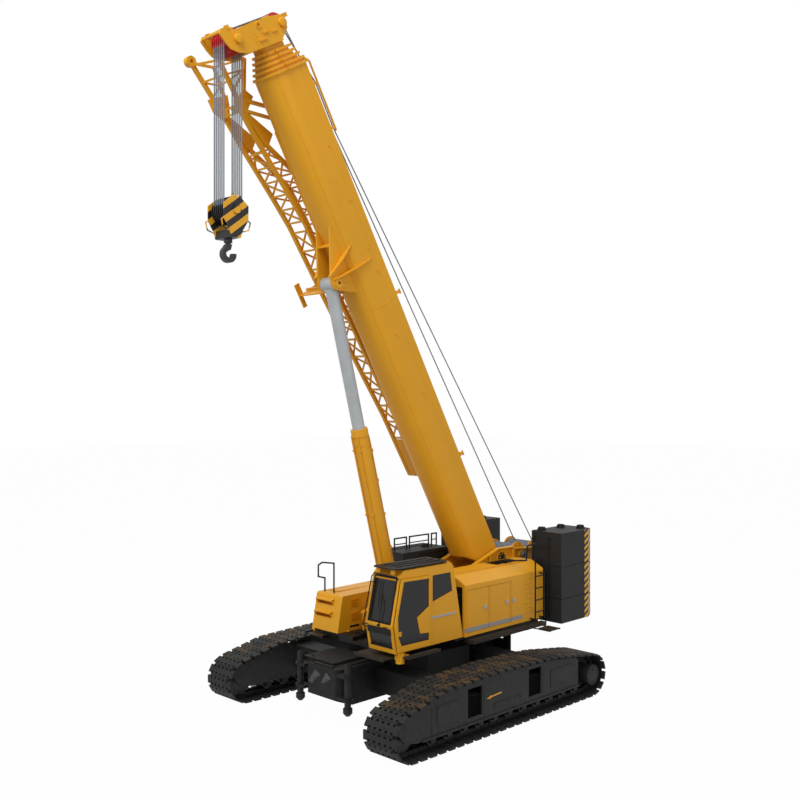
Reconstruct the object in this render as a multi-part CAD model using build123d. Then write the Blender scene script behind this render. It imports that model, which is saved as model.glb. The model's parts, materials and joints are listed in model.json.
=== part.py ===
from build123d import *
import math
import os

os.makedirs("parts", exist_ok=True)

# ---------------------------------------------------------------- driving dimensions (mm)
# The crane stands on its tracks: +X is the way it drives, +Y is the cab side, +Z is up.
# Everything is drawn about the slewing axis, and moved at export by ORIGIN_X so that the
# row origin is under the middle of the whole machine.
ORIGIN_X = -480
CLEAR = 5            # working gap between pieces that move past each other
FIT = 0.3            # running gap of pins, sheaves, pads and rollers

# tracks
TRACK_OUT = 3080     # outer edge of the shoes from the centre line
SHOE_W = 900
TRACK_Y = TRACK_OUT - SHOE_W / 2
WHEEL_X = 3015       # idler and sprocket centres, either side of the slewing axis
WHEEL_Z = 490
BELT = 130           # shoe face down to the link tread
SHOE_T = 45
SHOES = 57
CARRIERS = [(2000, 1215), (300, 1268), (-1500, 1195)]  # x, height of the shoe faces
CARRIER_R = 80
ROLLERS = 11
ROLLER_PITCH = 480
ROLLER_FRONT = 2290
ROLLER_R = 95
ROLLER_HALF = 200    # half length of the bottom rollers
CARRIER_HALF = 120
FRAME_BOTTOM = 340
FRAME_OUT = TRACK_OUT - 80    # side frame, between its own outer and inner plates
FRAME_IN = TRACK_Y - 370
PLATE = 40

# car body
RING_Z = 1300        # top of the car body, under the slewing ring
RING_H = 150 - FIT
RING_R = 800
NOSE_X = 2680
NOSE_HALF = 540
NOSE_BOTTOM = 410
NOSE_TOP = 1210
JACK_X = 2620
JACK_Y = 776
JACK_R = 70
JACK_TOP = 1350
JACK_TIP = 305

# upper works
DECK_Z = RING_Z + RING_H + FIT
DECK_T = 150
DECK_TOP = DECK_Z + DECK_T
WIDE = 1585          # half width over the housings
SIDE_PLATE_Y = 480   # inner face of the boom support plates

# boom
BOOM_ANGLE = 60
FOOT = (-2730, 0, 2980)
BOOM_TOP = 111       # top plate over the foot pin, square to the boom
BOOM_H = 997
BOOM_B = 840
WALL = 12
NEST = 40            # each section is smaller than the one around it by this, on every side
SECTIONS = 6
BASE_END = 12540     # from the foot pin along the boom
SECTION_STEP = 100
HEAD_S = 13360       # the two head sheave shafts
FRONT_T = -1300
REAR_T = -70
HEAD_Y = 330         # outer face of the head cheeks

# luffing cylinder
ROD_EYE_S = 8135
ROD_EYE_T = -1250
BARREL_FOOT = (430, 0, 1850)
BARREL_R = 176
ROD_R = 140
BARREL_L = 4560
ROD_L = 4515

# hook
HOOK_X = 5076        # under the front head shaft
FALL_R = 14
GROOVE_R = 195.7     # bottom of the rope groove; the rope's centre line runs at FALL_HALF
FALL_HALF = 210
SHEAVE_R = 250
BLOCK_SHEAVE_Z = 10600
BLOCK_TOP = 10930
BLOCK_BOTTOM = 10060
HOOK_TIP = 9590

# counterweight
CW_FRONT = -3261
CW_REAR = -4680
CW_IN = 1081
CW_OUT = 1980
CW_LEVELS = [1460, 2056, 2837, 3655]


# ---------------------------------------------------------------- helpers
def export(name, shape):
    export_step(Pos(ORIGIN_X, 0, 0) * shape, f"parts/{name}.step")


def block(x0, x1, y0, y1, z0, z1):
    centre = Pos((x0 + x1) / 2, (y0 + y1) / 2, (z0 + z1) / 2)
    return centre * Box(abs(x1 - x0), abs(y1 - y0), abs(z1 - z0))


def plate_xz(points, y0, y1):
    """A plate with its outline in the XZ plane, from y0 to y1."""
    face = make_face(Plane.XZ * Polyline(*points, close=True))
    return Pos(0, min(y0, y1), 0) * extrude(face, abs(y1 - y0), dir=(0, 1, 0))


def plate_yz(points, x0, x1):
    face = make_face(Plane.YZ * Polyline(*points, close=True))
    return Pos(min(x0, x1), 0, 0) * extrude(face, abs(x1 - x0), dir=(1, 0, 0))


def plate_xy(points, z0, z1):
    face = make_face(Plane.XY * Polyline(*points, close=True))
    return Pos(0, 0, min(z0, z1)) * extrude(face, abs(z1 - z0), dir=(0, 0, 1))


def shaft_y(x, z, y0, y1, r):
    return Pos(x, (y0 + y1) / 2, z) * Rot(90, 0, 0) * Cylinder(r, abs(y1 - y0))


def bar(p, q, r):
    """A round bar between two points."""
    a, b = Vector(*p), Vector(*q)
    along = b - a
    return Plane(origin=(a + b) * 0.5, z_dir=along) * Cylinder(r, along.length)


def square_bar(p, q, side):
    """A bar of square section between two points."""
    a, b = Vector(*p), Vector(*q)
    along = b - a
    return Plane(origin=(a + b) * 0.5, z_dir=along) * Box(side, side, along.length)


def tube_run(points, r):
    """Tube through the points, mitred at each bend."""
    a, b = Vector(*points[0]), Vector(*points[1])
    ring = Plane(origin=a, z_dir=b - a) * Circle(r)
    return sweep(ring, path=Polyline(*points), transition=Transition.RIGHT)


def mirrored(shape):
    return mirror(shape, about=Plane.XZ)


def both(shape):
    return Part() + [shape, mirrored(shape)]


def on_boom(shape):
    """Boom parts are drawn level, +X from the foot pin to the head, then raised."""
    return Location(FOOT, (0, -BOOM_ANGLE, 0)) * shape


def boom_point(s, t, y=0):
    c, n = math.cos(math.radians(BOOM_ANGLE)), math.sin(math.radians(BOOM_ANGLE))
    return (FOOT[0] + s * c - t * n, y, FOOT[2] + s * n + t * c)


# ---------------------------------------------------------------- tracks
def belt(inset):
    """The belt round the wheels as (points, length) pieces: tangent lines and arcs."""
    wheels = [(-WHEEL_X, WHEEL_Z, WHEEL_Z), (WHEEL_X, WHEEL_Z, WHEEL_Z)]
    over = CARRIER_R + BELT
    wheels += [(x, top - over, over) for x, top in CARRIERS]
    count = len(wheels)
    normals = []
    for i, (ax, az, ar) in enumerate(wheels):
        bx, bz, br = wheels[(i + 1) % count]
        reach = math.hypot(bx - ax, bz - az)
        normals.append(math.atan2(bz - az, bx - ax) - math.acos((ar - br) / reach))
    pieces = []
    for i, (ax, az, ar) in enumerate(wheels):
        bx, bz, br = wheels[(i + 1) % count]
        n = normals[i]
        a, b = ar - inset, br - inset
        start = (ax + a * math.cos(n), az + a * math.sin(n))
        end = (bx + b * math.cos(n), bz + b * math.sin(n))
        pieces.append(("line", start, end))
        turn = (normals[(i + 1) % count] - n) % (2 * math.pi)
        pieces.append(("arc", (bx, bz, b), (n, turn)))
    return pieces


def along_belt(distance):
    """Point and outward direction at a distance along the shoe faces."""
    for kind, a, b in belt(0):
        if kind == "line":
            length = math.dist(a, b)
            if distance <= length:
                f = distance / length
                point = (a[0] + (b[0] - a[0]) * f, a[1] + (b[1] - a[1]) * f)
                return point, ((b[1] - a[1]) / length, -(b[0] - a[0]) / length)
        else:
            length = a[2] * b[1]
            if distance <= length:
                angle = b[0] + b[1] * distance / length
                out = (math.cos(angle), math.sin(angle))
                return (a[0] + a[2] * out[0], a[1] + a[2] * out[1]), out
        distance -= length
    return along_belt(0)


def belt_length():
    return sum(math.dist(a, b) if k == "line" else a[2] * b[1] for k, a, b in belt(0))


def belt_outline(inset):
    edges = []
    for kind, a, b in belt(inset):
        if kind == "line":
            edges.append(Line(a, b))
        else:
            ends = [b[0], b[0] + b[1] / 2, b[0] + b[1]]
            stops = [(a[0] + a[2] * math.cos(t), a[1] + a[2] * math.sin(t)) for t in ends]
            edges.append(ThreePointArc(*stops))
    return make_face(Plane.XZ * Wire(edges))


def track_loop():
    """Shoes side by side round the belt, each a plate with a notch before the next."""
    notch = 0.5 * SHOE_T
    pitch = belt_length() / SHOES
    teeth = []
    for k in range(SHOES):
        for part, depth in ((0.05, 0), (0.5, 0), (0.88, 0), (0.95, notch), (0.99, notch)):
            (x, z), (nx, nz) = along_belt((k + part) * pitch)
            teeth.append((x - nx * depth, z - nz * depth))
    shoes = make_face(Plane.XZ * Polyline(*teeth, close=True)) - belt_outline(SHOE_T)
    links = belt_outline(SHOE_T) - belt_outline(BELT)
    wide = extrude(shoes, SHOE_W / 2, both=True)
    slim = extrude(links, 130, both=True)
    return Pos(0, TRACK_Y, 0) * (wide + slim)


def track_frame():
    outline = [(-2480, 345), (2850, 345), (3190, 420), (3350, 620), (3320, 800), (3120, 872),
               (2010, 1135), (300, 1188), (-1500, 1112), (-2350, 1010), (-2480, 940)]
    outer = plate_xz(outline, FRAME_OUT - PLATE, FRAME_OUT)
    for x in (1146, -857):
        outer -= block(x - 218, x + 218, 0, 4000, 470, 1060)
    inner = plate_xz(outline, FRAME_IN, FRAME_IN + PLATE)
    beam = block(-2480, 2480, FRAME_IN + PLATE, FRAME_OUT - PLATE, FRAME_BOTTOM, 880)
    lip = both(block(-2480, 2700, TRACK_Y - 390, TRACK_Y - 360, 330, 375))
    frame = outer + inner + beam
    frame += block(-2480, 2700, FRAME_OUT, FRAME_OUT + 25, 330, 372)
    for k in range(ROLLERS):
        x = ROLLER_FRONT - k * ROLLER_PITCH
        for y in (TRACK_Y - 285, TRACK_Y + ROLLER_HALF):
            frame += block(x - 70, x + 70, y, y + 85, 200, FRAME_BOTTOM + 5)
    for y in (TRACK_Y - 200, TRACK_Y + 150):
        frame += block(2400, WHEEL_X + 70, y, y + 50, 420, 560)
    for x, top in CARRIERS:
        z = top - BELT - CARRIER_R
        for y in (TRACK_Y - 180, TRACK_Y + CARRIER_HALF):
            frame += block(x - 50, x + 50, y, y + 60, 875, z + 40)
    frame += block(-2760, -2480, FRAME_IN, FRAME_IN + 180, 330, 700)
    return frame


def running_gear():
    """Idler, bottom rollers and carrier rollers of one track, each between its brackets."""
    tread = WHEEL_Z - BELT - FIT
    gear = shaft_y(WHEEL_X, WHEEL_Z, TRACK_Y - 110, TRACK_Y + 110, tread)
    gear += shaft_y(WHEEL_X, WHEEL_Z, TRACK_Y - 150, TRACK_Y + 150, 110)
    wheels = [gear]
    for k in range(ROLLERS):
        x = ROLLER_FRONT - k * ROLLER_PITCH
        z = BELT + ROLLER_R + FIT
        wheels.append(shaft_y(x, z, TRACK_Y - ROLLER_HALF, TRACK_Y + ROLLER_HALF, ROLLER_R))
    for x, top in CARRIERS:
        z = top - BELT - CARRIER_R - FIT
        wheels.append(shaft_y(x, z, TRACK_Y - CARRIER_HALF, TRACK_Y + CARRIER_HALF, CARRIER_R))
    return Compound(wheels)


def final_drive():
    """Sprocket on a planetary hub, carried by the rear end of the side frame."""
    teeth = 22
    outer = WHEEL_Z - BELT - FIT
    points = []
    for k in range(teeth):
        for part, radius in ((0.0, outer - 35), (0.25, outer - 35), (0.4, outer), (0.85, outer)):
            a = 2 * math.pi * (k + part) / teeth
            points.append((-WHEEL_X + radius * math.cos(a), WHEEL_Z + radius * math.sin(a)))
    drive = plate_xz(points, TRACK_Y - 60, TRACK_Y + 60)
    drive += shaft_y(-WHEEL_X, WHEEL_Z, FRAME_IN + 180, TRACK_OUT - 40, 230)
    drive += shaft_y(-WHEEL_X, WHEEL_Z, FRAME_IN + 20, FRAME_IN + 180, 150)
    drive += block(-WHEEL_X, -2760, FRAME_IN + 20, FRAME_IN + 180, 380, 600)
    return drive


# ---------------------------------------------------------------- car body
def car_body():
    half = [(1250, 700), (700, 1250), (-700, 1250), (-1250, 700)]
    points = half + [(x, -y) for x, y in reversed(half)]
    body = plate_xy(points, 600, RING_Z)
    for x in (1350, -1350):
        body += block(x - 260, x + 260, -FRAME_IN, FRAME_IN, 560, 1080)
    nose = [(1100, NOSE_HALF), (NOSE_X - 90, NOSE_HALF), (NOSE_X, NOSE_HALF - 90)]
    nose += [(x, -y) for x, y in reversed(nose)]
    box = plate_xy(nose, NOSE_BOTTOM, NOSE_TOP)
    box -= plate_xz([(NOSE_X + 10, NOSE_BOTTOM - 10), (NOSE_X + 10, 560), (2250, NOSE_BOTTOM - 10)],
                    -NOSE_HALF - 10, NOSE_HALF + 10)
    body += box + mirror(box, about=Plane.YZ)
    for x in (JACK_X, -JACK_X):
        for y in (JACK_Y, -JACK_Y):
            inner = math.copysign(NOSE_HALF - 10, y)
            for z in (620, 1090):
                body += block(x - 110, x + 110, inner, y, z, z + 60)
                body += Pos(x, y, z + 30) * Cylinder(110, 60)
                body -= Pos(x, y, z + 30) * Cylinder(JACK_R, 60)
    body += block(1500, 2530, -780, 200, NOSE_TOP, NOSE_TOP + 60)
    return body


def slewing_ring():
    ring = Pos(0, 0, RING_Z + RING_H / 2) * Cylinder(RING_R, RING_H)
    return ring - Pos(0, 0, RING_Z + RING_H / 2) * Cylinder(RING_R - 160, RING_H)


JACKS = [("front_left", 1, 1), ("front_right", 1, -1), ("rear_left", -1, 1), ("rear_right", -1, -1)]
JACK_WALL = 25
RAM_R = JACK_R - JACK_WALL - FIT


def jack_barrels():
    """Four upright barrels, each open below for its ram."""
    bottom = JACK_TIP + 170
    hollow = JACK_TOP - 80
    barrel = Pos(0, 0, (JACK_TOP + bottom) / 2) * Cylinder(JACK_R, JACK_TOP - bottom)
    barrel -= Pos(0, 0, (hollow + bottom) / 2) * Cylinder(JACK_R - JACK_WALL, hollow - bottom)
    barrel += Pos(0, 0, JACK_TOP + 15) * Cylinder(JACK_R - 20, 30)
    return Compound([Pos(fx * JACK_X, fy * JACK_Y, 0) * barrel for _, fx, fy in JACKS])


def jack_foot(fx, fy):
    """Ram, collar and the blunt cone that stands on a pad."""
    top = JACK_TOP - 200
    ram = Pos(0, 0, (JACK_TIP + 150 + top) / 2) * Cylinder(RAM_R, top - JACK_TIP - 150)
    collar = Pos(0, 0, JACK_TIP + 110) * Cylinder(100, 100)
    cone = Pos(0, 0, JACK_TIP + 30) * Cone(45, 100, 60)
    return Pos(fx * JACK_X, fy * JACK_Y, 0) * (ram + collar + cone)


# ---------------------------------------------------------------- turntable
PIN_R = 89.7         # boom foot pin
PIN_BORE = 90
SIDE_PLATE = [(1000, DECK_TOP - 40), (1000, 2020), (-1080, 2715), (-2600, 3216), (-3230, 3205),
              (-3230, DECK_TOP - 40)]
EAR_Y = 215          # inner face of the cylinder foot ears
RIBS = [(-620, 2480), (-1640, 2810), (-3160, 3150)]  # x, top of the upright ribs


def turntable():
    """Slewing deck with the two tall plates that carry the boom foot."""
    deck = block(-3230, 1590, -680, 680, DECK_Z, DECK_TOP)
    deck += block(-3230, 80, -1500, 1500, DECK_TOP - 60, DECK_TOP)
    deck += block(60, 1590, -1500, -600, DECK_TOP - 60, DECK_TOP)
    deck += block(60, 1590, 600, 1100, DECK_TOP - 140, DECK_TOP - 50)
    recess = EAR_Y - 2 * CLEAR
    deck -= block(-60, 1600, -recess, recess, DECK_TOP - 80, DECK_TOP + 10)
    cheek = plate_xz(SIDE_PLATE, SIDE_PLATE_Y, SIDE_PLATE_Y + PLATE)
    edge = offset_strip(SIDE_PLATE[1:5], 30)
    cheek += plate_xz(edge, SIDE_PLATE_Y - 20, SIDE_PLATE_Y + PLATE + 60)
    for x, top in RIBS:
        rib = SIDE_PLATE_Y + PLATE - 5
        cheek += block(x - 15, x + 15, rib, rib + 95, DECK_TOP - 20, top)
    cheek += shaft_y(FOOT[0], FOOT[2], SIDE_PLATE_Y - 5, SIDE_PLATE_Y + PLATE + 30, 190)
    cheek -= shaft_y(FOOT[0], FOOT[2], 0, 1000, PIN_BORE)
    ear = [(60, DECK_TOP - 40), (240, 1990), (620, 1990), (800, DECK_TOP - 40)]
    ear = plate_xz(ear, EAR_Y, EAR_Y + 60)
    ear += shaft_y(BARREL_FOOT[0], BARREL_FOOT[2], EAR_Y, EAR_Y + 85, 170)
    ear -= shaft_y(BARREL_FOOT[0], BARREL_FOOT[2], 0, 1000, PIN_BORE)
    return deck + both(cheek) + both(ear)


def offset_strip(points, depth):
    """A band under a run of points, for the flange along a plate's edge."""
    return list(points) + [(x, z - depth) for x, z in reversed(points)]


def foot_pin():
    pin = shaft_y(FOOT[0], FOOT[2], -SIDE_PLATE_Y - 85, SIDE_PLATE_Y + 85, PIN_R)
    caps = both(shaft_y(FOOT[0], FOOT[2], SIDE_PLATE_Y + 70, SIDE_PLATE_Y + 95, 130))
    return pin + caps


WINCHES = [("main", -3560, 2960, 300), ("aux", -4250, 2960, 300)]
WINCH_Y = 445        # inner face of the winch bearings
WINCH_SIDE = [(-3230, 2290), (-4680, 2290), (-4680, 2700), (-4100, 3090), (-3230, 3150)]


def winch(x, z, r):
    """Rope drum between two flanges, on the stub shafts of its bearings."""
    drum = shaft_y(x, z, -400, 400, r * 0.72)
    for y in (-400, 370):
        drum += shaft_y(x, z, y, y + 30, r)
    return drum + shaft_y(x, z, FIT - WINCH_Y, WINCH_Y - FIT, 60)


def winch_frame():
    """Side plates behind the turntable that carry the two winches."""
    cheek = plate_xz(WINCH_SIDE, 480, 510)
    cheek += plate_xz(offset_strip(WINCH_SIDE[2:], 30), 460, 560)
    for _, x, z, _ in WINCHES:
        cheek += shaft_y(x, z, WINCH_Y, 485, 150)
        cheek += shaft_y(x, z, 505, 560, 120)
    frame = both(cheek)
    frame += block(-4680, -3230, -500, 500, 2290, 2330)
    for x in (-3905, -4600):
        frame += bar((x, -500, 2480), (x, 500, 2480), 45)
    return frame + bar((-3905, -495, 3060), (-3905, 495, 3060), 35)


# ---------------------------------------------------------------- housings
HOUSING_FRONT = -174
HOUSING_REAR = -3130
HOUSING_IN = 640
HOUSING_TOP = 2950
SHEET = 25
SHOULDER = 2751      # top of the upright side, under the sloping shoulder
HINGE_R = 9.5
DOORS = [("front", -230, -1000), ("rear", -1010, -1780)]  # name, front edge, rear edge
DOOR_BOTTOM = 1680
DOOR_TOP = 2640
STEP_X = -2440       # recessed steps near the rear corner
STEPS = [1790, 2020, 2250, 2480]


def left_housing():
    """Engine house of bent sheet, with an opening behind each door."""
    side = [(HOUSING_IN, DECK_TOP), (WIDE, DECK_TOP), (WIDE, SHOULDER), (1180, HOUSING_TOP)]
    side += [(HOUSING_IN, HOUSING_TOP)]
    inside = [(HOUSING_IN + SHEET, 1500), (WIDE - SHEET, 1500), (WIDE - SHEET, SHOULDER - 16)]
    inside += [(1172, HOUSING_TOP - SHEET), (HOUSING_IN + SHEET, HOUSING_TOP - SHEET)]
    shell = plate_yz(side, HOUSING_FRONT, HOUSING_REAR)
    shell = fillet(shell.edges().filter_by(Axis.Z).sort_by(Axis.X)[:2], 120)
    shell -= plate_yz(inside, HOUSING_FRONT - SHEET, HOUSING_REAR + 4 * SHEET)
    for _, front, rear in DOORS:
        shell -= block(rear, front, WIDE - SHEET - 10, WIDE + 10, DOOR_BOTTOM, DOOR_TOP)
        lip = block(rear - 20, front + 20, WIDE - SHEET - 30, WIDE - SHEET, DOOR_BOTTOM - 20,
                    DOOR_TOP + 20)
        lip -= block(rear + 40, front - 40, 0, 2000, DOOR_BOTTOM + 40, DOOR_TOP - 40)
        shell += lip - block(rear, front, WIDE - SHEET - CLEAR, 2000, DOOR_BOTTOM, DOOR_TOP)
    for z in STEPS:
        shell -= block(STEP_X - 110, STEP_X + 110, WIDE - SHEET - 10, WIDE + 10, z, z + 130)
        pocket = block(STEP_X - 130, STEP_X + 130, WIDE - 150, WIDE - SHEET + 5, z - 20, z + 150)
        shell += pocket - block(STEP_X - 110, STEP_X + 110, WIDE - 130, WIDE + 10, z, z + 130)
    return shell


def housing_door(front, rear):
    """Sheet door hung on its front edge, with knuckles and a latch plate."""
    gap = 2 * CLEAR
    door = block(rear + gap, front - gap, WIDE - SHEET, WIDE, DOOR_BOTTOM + gap, DOOR_TOP - gap)
    door += block(rear + 60, rear + 130, WIDE - 2, WIDE + 8, 2130, 2230)
    for z in (DOOR_BOTTOM + 120, DOOR_TOP - 220):
        door -= block(front - gap - 15, front, 0, 2000, z + 78, z + 143)
        door += Pos(front - gap, WIDE, z) * Cylinder(HINGE_R, 160)
    return door


def housing_hinges():
    """Fixed knuckles of the doors, each carrying the pin of its neighbour."""
    knuckles = []
    for _, front, _ in DOORS:
        for z in (DOOR_BOTTOM + 120, DOOR_TOP - 220):
            knuckle = Pos(front - 2 * CLEAR, WIDE, z + 110 + FIT) * Cylinder(HINGE_R, 60)
            knuckles.append(knuckle + block(front - 10, front + 4, WIDE - 6, WIDE + 3, z + 80 + FIT,
                                            z + 140))
    return knuckles


RIGHT_SIDE = [(1640, 1450), (1460, 2420), (-420, 2440), (-420, 1450)]
RIGHT_IN = -690


def front_x(z):
    """Front face of the right housing at a height."""
    (x0, z0), (x1, z1) = RIGHT_SIDE[:2]
    return x0 + (x1 - x0) * (z - z0) / (z1 - z0)


def right_housing():
    """Tool and tank housing whose sloping front is climbed on two hooded steps."""
    shell = plate_xz(RIGHT_SIDE, -WIDE, RIGHT_IN)
    shell = fillet(shell.edges().filter_by(Axis.Y).sort_by(Axis.Z)[-2:], 60)
    shell -= block(-500, 1700, -1500, -600, 1400, DECK_TOP)
    for z in (1900, 2180):
        x = front_x(z)
        shell -= block(x - 140, x + 60, -1500, -980, z, z + 130)
    for x, z0, z1 in ((1080, 2130, 2320), (1080, 1830, 2020)):
        for k in range(4):
            z = z0 + (z1 - z0) * k / 4
            shell -= block(x - 120, x + 120, RIGHT_IN - 15, RIGHT_IN + 10, z, z + 25)
    shell -= block(940, 1240, RIGHT_IN - 20, RIGHT_IN + 10, 1670, 1720)
    return shell


HOOD = 90
TREAD_X = 1850


def step_plate(z0, z1, y0, y1):
    """Plate from the sloping front out to the edge of the lowest tread."""
    return plate_xz([(front_x(z0), z0), (TREAD_X, z0), (TREAD_X, z1), (front_x(z1), z1)], y0, y1)


def right_steps():
    """Step plates of the right housing: a hood over each pocket and the lowest tread."""
    hoods = []
    for z in (2040, 2320):
        x = front_x(z)
        hood = [(x, z), (x + HOOD, z - 30), (x + HOOD, z - 45), (front_x(z - 25), z - 25)]
        hoods.append(plate_xz(hood, -1520, -960))
    tread = step_plate(1500, 1530, -1560, -940)
    for y in (-1560, -970):
        tread += step_plate(1470, 1560, y, y + 30)
    return Compound(hoods + [tread])


RAIL_R = 19
BOX_TOP = 3200
BOX_IN = -620


def service_box():
    """Cooler housing behind the right housing, with a recessed grille and a filler cap."""
    box = block(-2040, -422, -1500, BOX_IN, DECK_TOP, BOX_TOP)
    box += block(-2200, -2040, -1450, -640, DECK_TOP, 2900)
    box -= block(-960, -1980, BOX_IN + 10, BOX_IN - 40, 2500, 3120)
    for k in range(9):
        z = 2510 + 68 * k
        box += block(-1980, -960, BOX_IN - 45, BOX_IN - 15, z, z + 28)
    cap = Pos(-1590, -1000, BOX_TOP + 20) * Cylinder(110, 60)
    return box + cap + Pos(-1590, -1000, BOX_TOP + 60) * Cylinder(70, 40)


FRAMES = [(-525, -943), (-1050, -1738), (-1849, -2030)]  # handrail frames along the box


def deck_rails():
    """Hoops and rails along the top of the cooler housing and on the right housing."""
    rails = []
    for x0, x1 in FRAMES:
        y = -1020
        hoop = [(x0, y, BOX_TOP), (x0, y, 3500), (x1, y, 3500), (x1, y, BOX_TOP)]
        rails.append(tube_run(hoop, RAIL_R) + bar((x0, y, 3350), (x1, y, 3350), RAIL_R - 5))
    x, foot = 1330, 2421.6
    s_rail = [(x, -1461, foot), (x, -1461, 2730), (x, -1700, 2730), (x, -1700, 3000),
              (x, -1560, 3080), (x, -1140, 3110), (x, -1140, foot)]
    rails.append(tube_run(s_rail, RAIL_R))
    return Compound(rails)


def engine():
    return block(-2700, -500, 760, 1380, DECK_TOP, 2500)


# ---------------------------------------------------------------- walkways and ladder
WALK_IN = WIDE
WALK_OUT = 1750
LADDER_X = (-2551, -2909)
LADDER_Y = 1730
RUNGS = [1814, 2099, 2384, 2669]


def walkway():
    """Tread beside the left housing, open below, with a hinged step at its rear."""
    walk = block(-2970, -300, WALK_IN, WALK_OUT, 1500, 1530)
    walk += block(-2970, -300, WALK_OUT - 12, WALK_OUT, 1450, 1545)
    for x in (-320, -960, -1600, -2240, -2950):
        walk += block(x - 12, x + 12, WALK_IN - 120, WALK_OUT - 5, 1440, 1505)
    walk += block(-2970, -300, WALK_IN - 120, WALK_IN - 90, 1440, DECK_TOP - 60)
    for x in (-2480, -2860):
        walk += block(x, x + 20, WALK_OUT - 30, WALK_OUT + 480, 1440, 1462)
    return walk + block(-2860, -2470, WALK_OUT + 120, WALK_OUT + 490, 1455, 1475)


def ladder():
    """Rung ladder at the rear corner of the left housing, with a high grab rail."""
    front, rear = LADDER_X
    rails = tube_run([(front, WIDE, 1640), (front, LADDER_Y, 1640), (front, LADDER_Y, 3466),
                      (-2250, LADDER_Y, 3440), (-2200, LADDER_Y, 3100), (-2200, 1100, 3020),
                      (-2200, 1100, HOUSING_TOP)], RAIL_R)
    rails += tube_run([(rear, WIDE, 1640), (rear, LADDER_Y, 1640), (rear, LADDER_Y, 2700),
                       (rear, WIDE, 2700)], RAIL_R)
    for z in RUNGS:
        rails += bar((front, LADDER_Y, z), (rear, LADDER_Y, z), RAIL_R - 4)
    return rails


# ---------------------------------------------------------------- cab
CAB_IN = 740
CAB_OUT = 1545
CAB_FLOOR = 1610
FRAME = 50           # depth of the cab's pillars and rails
CAB_SIDE = [(1975, CAB_FLOOR), (2080, 2190), (1845, 3210), (1740, 3320), (260, 3320), (180, 3230),
            (-140, CAB_FLOOR)]
HOLLOW = [(1915, 1670), (2020, 2190), (1800, 3170), (1710, 3260), (300, 3260), (235, 3200),
          (-80, 1670)]
DOOR_SIDE = [(965, 1640), (1945, 1650), (2045, 2190), (1835, 3150), (965, 3130)]
DOOR_GLASS = [(1780, 3095), (1010, 3075), (1010, 2475), (1378, 2282), (1286, 1938), (1010, 1917),
              (1010, 1755), (1850, 1765), (1940, 1957), (1950, 2200), (1955, 2384)]
SIDE_GLASS = [(850, 3110), (275, 3110), (210, 2690), (850, 2540)]
INNER_GLASS = [(1700, 3110), (300, 3110), (220, 2400), (1850, 2400)]
LEAN = (2080 - 1845) / (3210 - 2190)
DOOR_T = 35
RAIL_Z = 2200


def cab_shell():
    """Hollow cab with its windows and doorway cut through the frame."""
    shell = plate_xz(CAB_SIDE, CAB_IN, CAB_OUT)
    shell -= plate_xz(HOLLOW, CAB_IN + FRAME, CAB_OUT - FRAME)
    shell -= plate_xz(DOOR_SIDE, CAB_OUT - FRAME - 10, CAB_OUT + 10)
    shell -= plate_xz(SIDE_GLASS, CAB_OUT - FRAME - 10, CAB_OUT + 10)
    shell -= plate_xz(INNER_GLASS, CAB_IN - 10, CAB_IN + FRAME + 10)
    shell -= block(1700, 2200, CAB_IN + 70, CAB_OUT - 70, 2240, 3110)
    shell -= block(1850, 2200, CAB_IN + 70, CAB_OUT - 70, 1720, 2120)
    shell -= block(-300, 400, CAB_IN + 90, CAB_OUT - 90, 2350, 3080)
    shell += block(140, 965, CAB_OUT - 5, CAB_OUT + 12, RAIL_Z - 22, RAIL_Z + 22)
    for x, y in ((190, 820), (190, 1060), (1500, 820), (1500, 1060)):
        shell += block(x - 90, x + 90, y - 60, y + 30, DECK_TOP - 50, CAB_FLOOR + 5)
    return shell


def cab_mount():
    """Cross beam on the front of the deck and the round post under the cab's outer corner."""
    beam = block(1590, 1640, 700, 1560, 1460, 1550)
    post = Pos(1800, 1500, 1500) * Cylinder(95, 2 * (CAB_FLOOR - 1500))
    front = block(1630, 1900, 1440, 1560, 1470, 1560)
    return beam + post + front


def cab_steps():
    """Treads in front of the cab and beside it."""
    front = block(1700, 2200, 480, 1400, 1480, 1505)
    front += block(2180, 2200, 480, 1400, 1460, 1530)
    front += block(1640, 1720, 700, 820, 1465, 1500)
    side = block(807, 1817, 1600, 1750, 1520, 1545)
    side += block(807, 1817, 1735, 1750, 1500, 1570)
    side += block(1590, 1640, 1560, 1620, 1480, 1525)
    return Compound([front, side])


def cab_door():
    """Sliding door: a frame round its glass, with the runner that hangs on the rail."""
    door = plate_xz(DOOR_SIDE, CAB_OUT + CLEAR + 12, CAB_OUT + CLEAR + 12 + DOOR_T)
    door -= plate_xz(DOOR_GLASS, CAB_OUT - 10, CAB_OUT + 100)
    door += block(900, 1060, CAB_OUT + 12 + FIT, CAB_OUT + 30, RAIL_Z - 18, RAIL_Z + 18)
    return door


def cab_door_glass():
    face = CAB_OUT + CLEAR + 12
    return plate_xz(DOOR_GLASS, face + 8, face + 16)


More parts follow.
